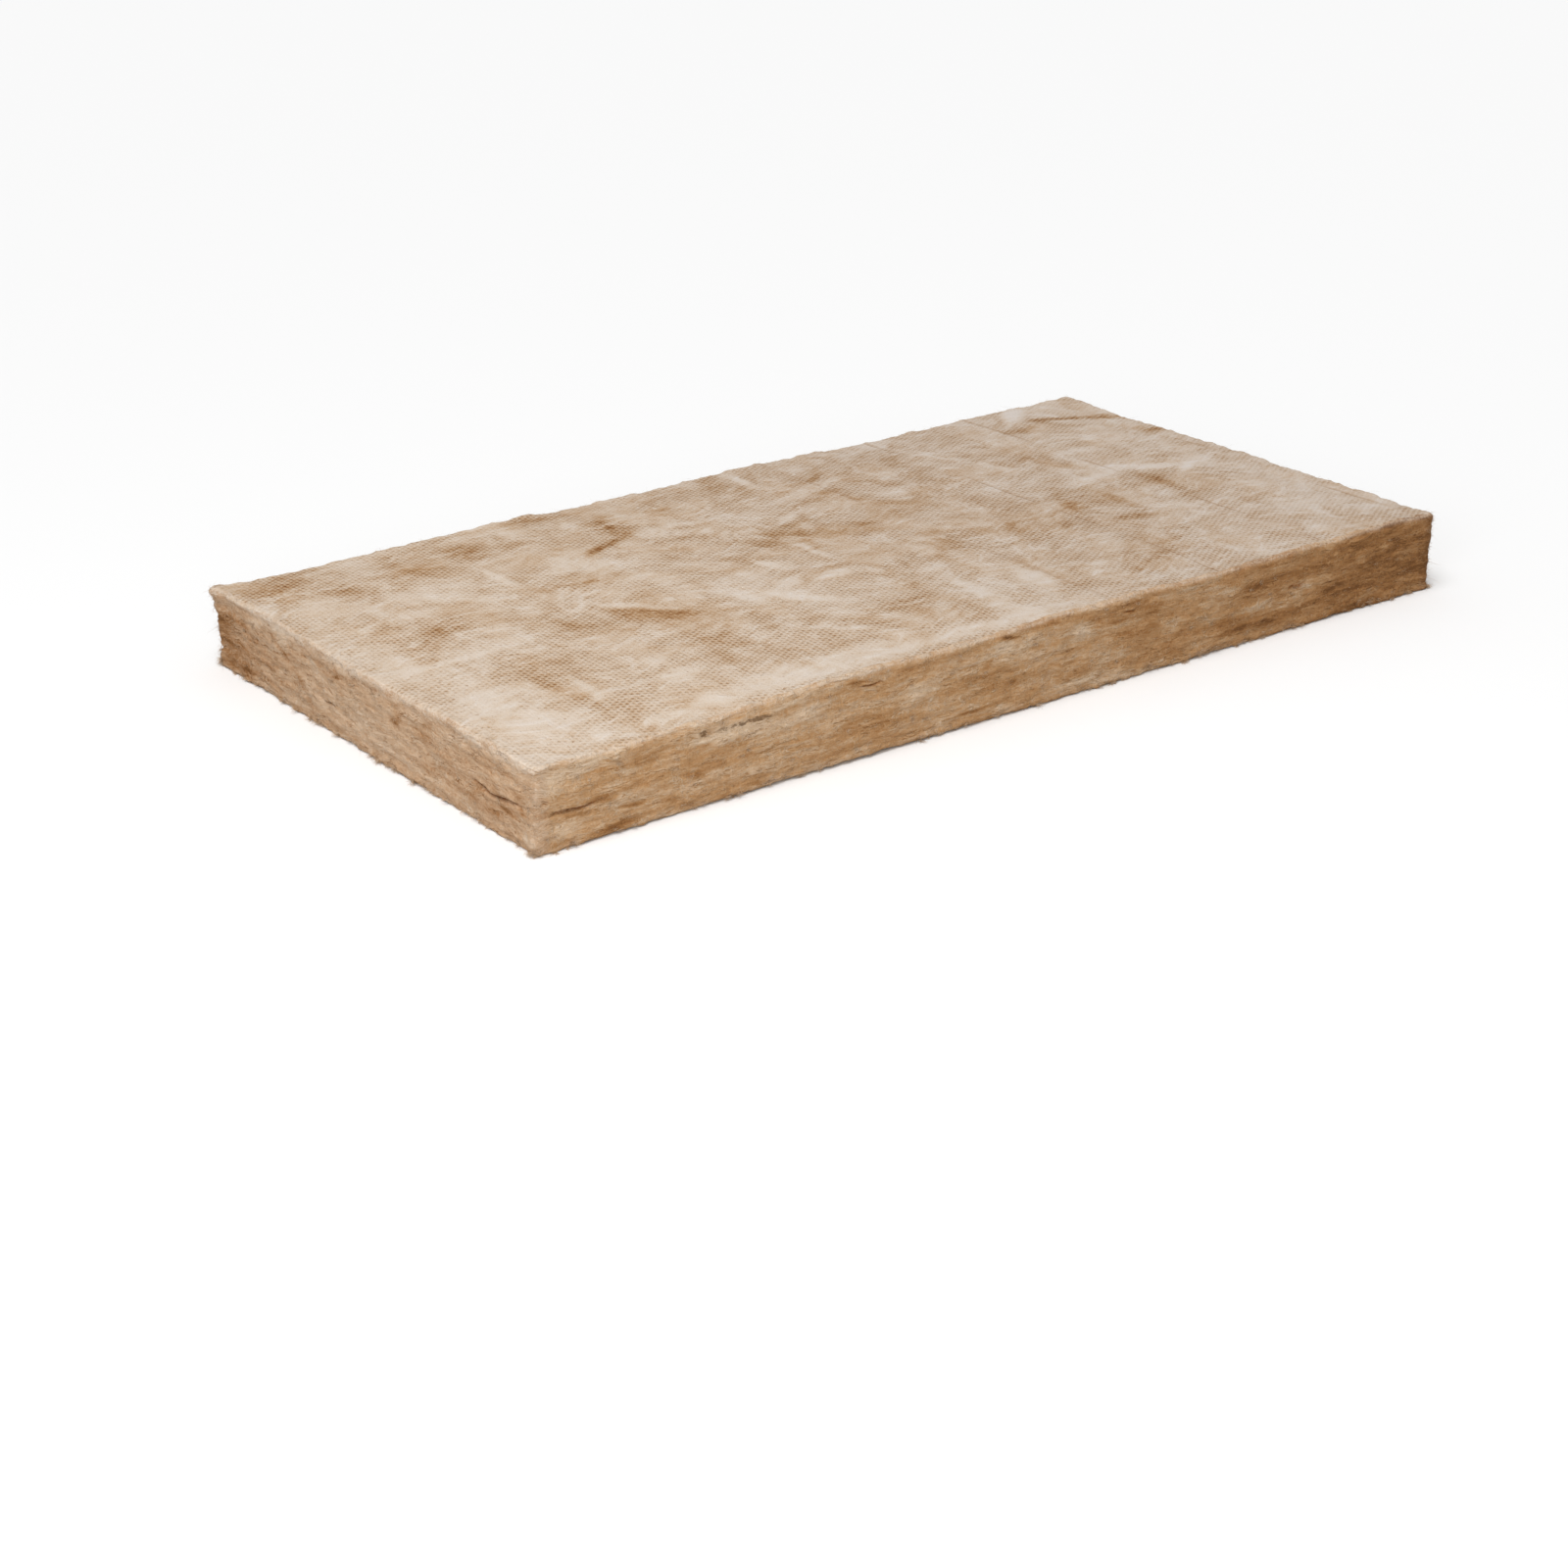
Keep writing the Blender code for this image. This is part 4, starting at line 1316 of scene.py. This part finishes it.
def add_floor(colour):
    """A wide level disc just under the slab."""
    turn = 2 * np.pi * np.arange(FLOOR_SIDES) / FLOOR_SIDES
    level = np.full(FLOOR_SIDES, SLAB_LOW.z - FLOOR_GAP)
    points = np.stack([FLOOR_RADIUS * np.cos(turn), FLOOR_RADIUS * np.sin(turn), level], -1)
    floor = mesh_object("stage_floor", points, np.arange(FLOOR_SIDES), [FLOOR_SIDES], False)
    nodes = Nodes(bpy.data.materials.new("stage_floor"))
    sockets = {"Base Color": (*colour, 1.0), "Roughness": 0.9, "Specular IOR Level": 0.0}
    shader = nodes.add("ShaderNodeBsdfPrincipled", None, sockets)
    nodes.add("ShaderNodeOutputMaterial", None, {"Surface": shader}, ())
    floor.data.materials.append(nodes.owner)


def pale_world(ambient):
    """Even white light of that strength, which the camera itself sees as plain white."""
    nodes = Nodes(bpy.data.worlds.new("pale_world"))
    seen = nodes.add("ShaderNodeLightPath", None, None, ("Is Camera Ray",))
    sockets = {"Color": (1.0, 1.0, 1.0, 1.0), "Strength": seen * (1 - ambient) + ambient}
    background = nodes.add("ShaderNodeBackground", None, sockets)
    nodes.add("ShaderNodeOutputWorld", None, {"Surface": background}, ())
    return nodes.owner


class BATT_OT_stage(bpy.types.Operator):
    """Build the pale floor, the soft lights and the camera"""

    bl_idname = "batt.stage"
    bl_label = "Stage"

    def execute(self, context):
        stage = settings().stage
        add_floor(stage.floor)
        add_light("SUN", "key_light", KEY_PLACE, KEY_TARGET, stage.key, angle=KEY_ANGLE)
        add_light("AREA", "side_light", SIDE_PLACE, SIDE_TARGET, stage.side, shape="DISK", size=SIDE_SIZE)
        context.scene.world = pale_world(stage.ambient)
        context.scene.view_settings.view_transform = "Standard"
        add_camera()
        return {"FINISHED"}


OPERATORS = (
    BATT_OT_slab,
    BATT_OT_edge_fuzz,
    BATT_OT_foot_fringe,
    BATT_OT_layer_fibres,
    BATT_OT_face_wisps,
    BATT_OT_tufts,
    BATT_OT_stage,
)


class BATT_PT_panel(bpy.types.Panel):
    """Buttons for each piece, and the sizes and colours that they use"""

    bl_idname = "BATT_PT_panel"
    bl_label = "Insulation Batt"
    bl_space_type = "VIEW_3D"
    bl_region_type = "UI"
    bl_category = "Batt"

    def draw(self, context):
        column = self.layout.column(align=True)
        for operator in OPERATORS:
            column.operator(operator.bl_idname)
        groups = context.scene.batt_settings
        for group in (groups.sizes, groups.colours, groups.stage):
            box = self.layout.box()
            for name in group.__annotations__:
                box.prop(group, name)


CLASSES = (BattSizes, BattColours, BattStage, BattSettings, *OPERATORS, BATT_PT_panel)


def register():
    for cls in CLASSES:
        bpy.utils.register_class(cls)
    bpy.types.Scene.batt_settings = PointerProperty(type=BattSettings)


def unregister():
    del bpy.types.Scene.batt_settings
    for cls in reversed(CLASSES):
        bpy.utils.unregister_class(cls)


def main():
    register()
    bpy.ops.batt.slab()
    bpy.ops.batt.edge_fuzz()
    bpy.ops.batt.foot_fringe()
    bpy.ops.batt.layer_fibres()
    bpy.ops.batt.face_wisps()
    bpy.ops.batt.tufts()
    bpy.ops.batt.stage()


if __name__ == "__main__":
    main()
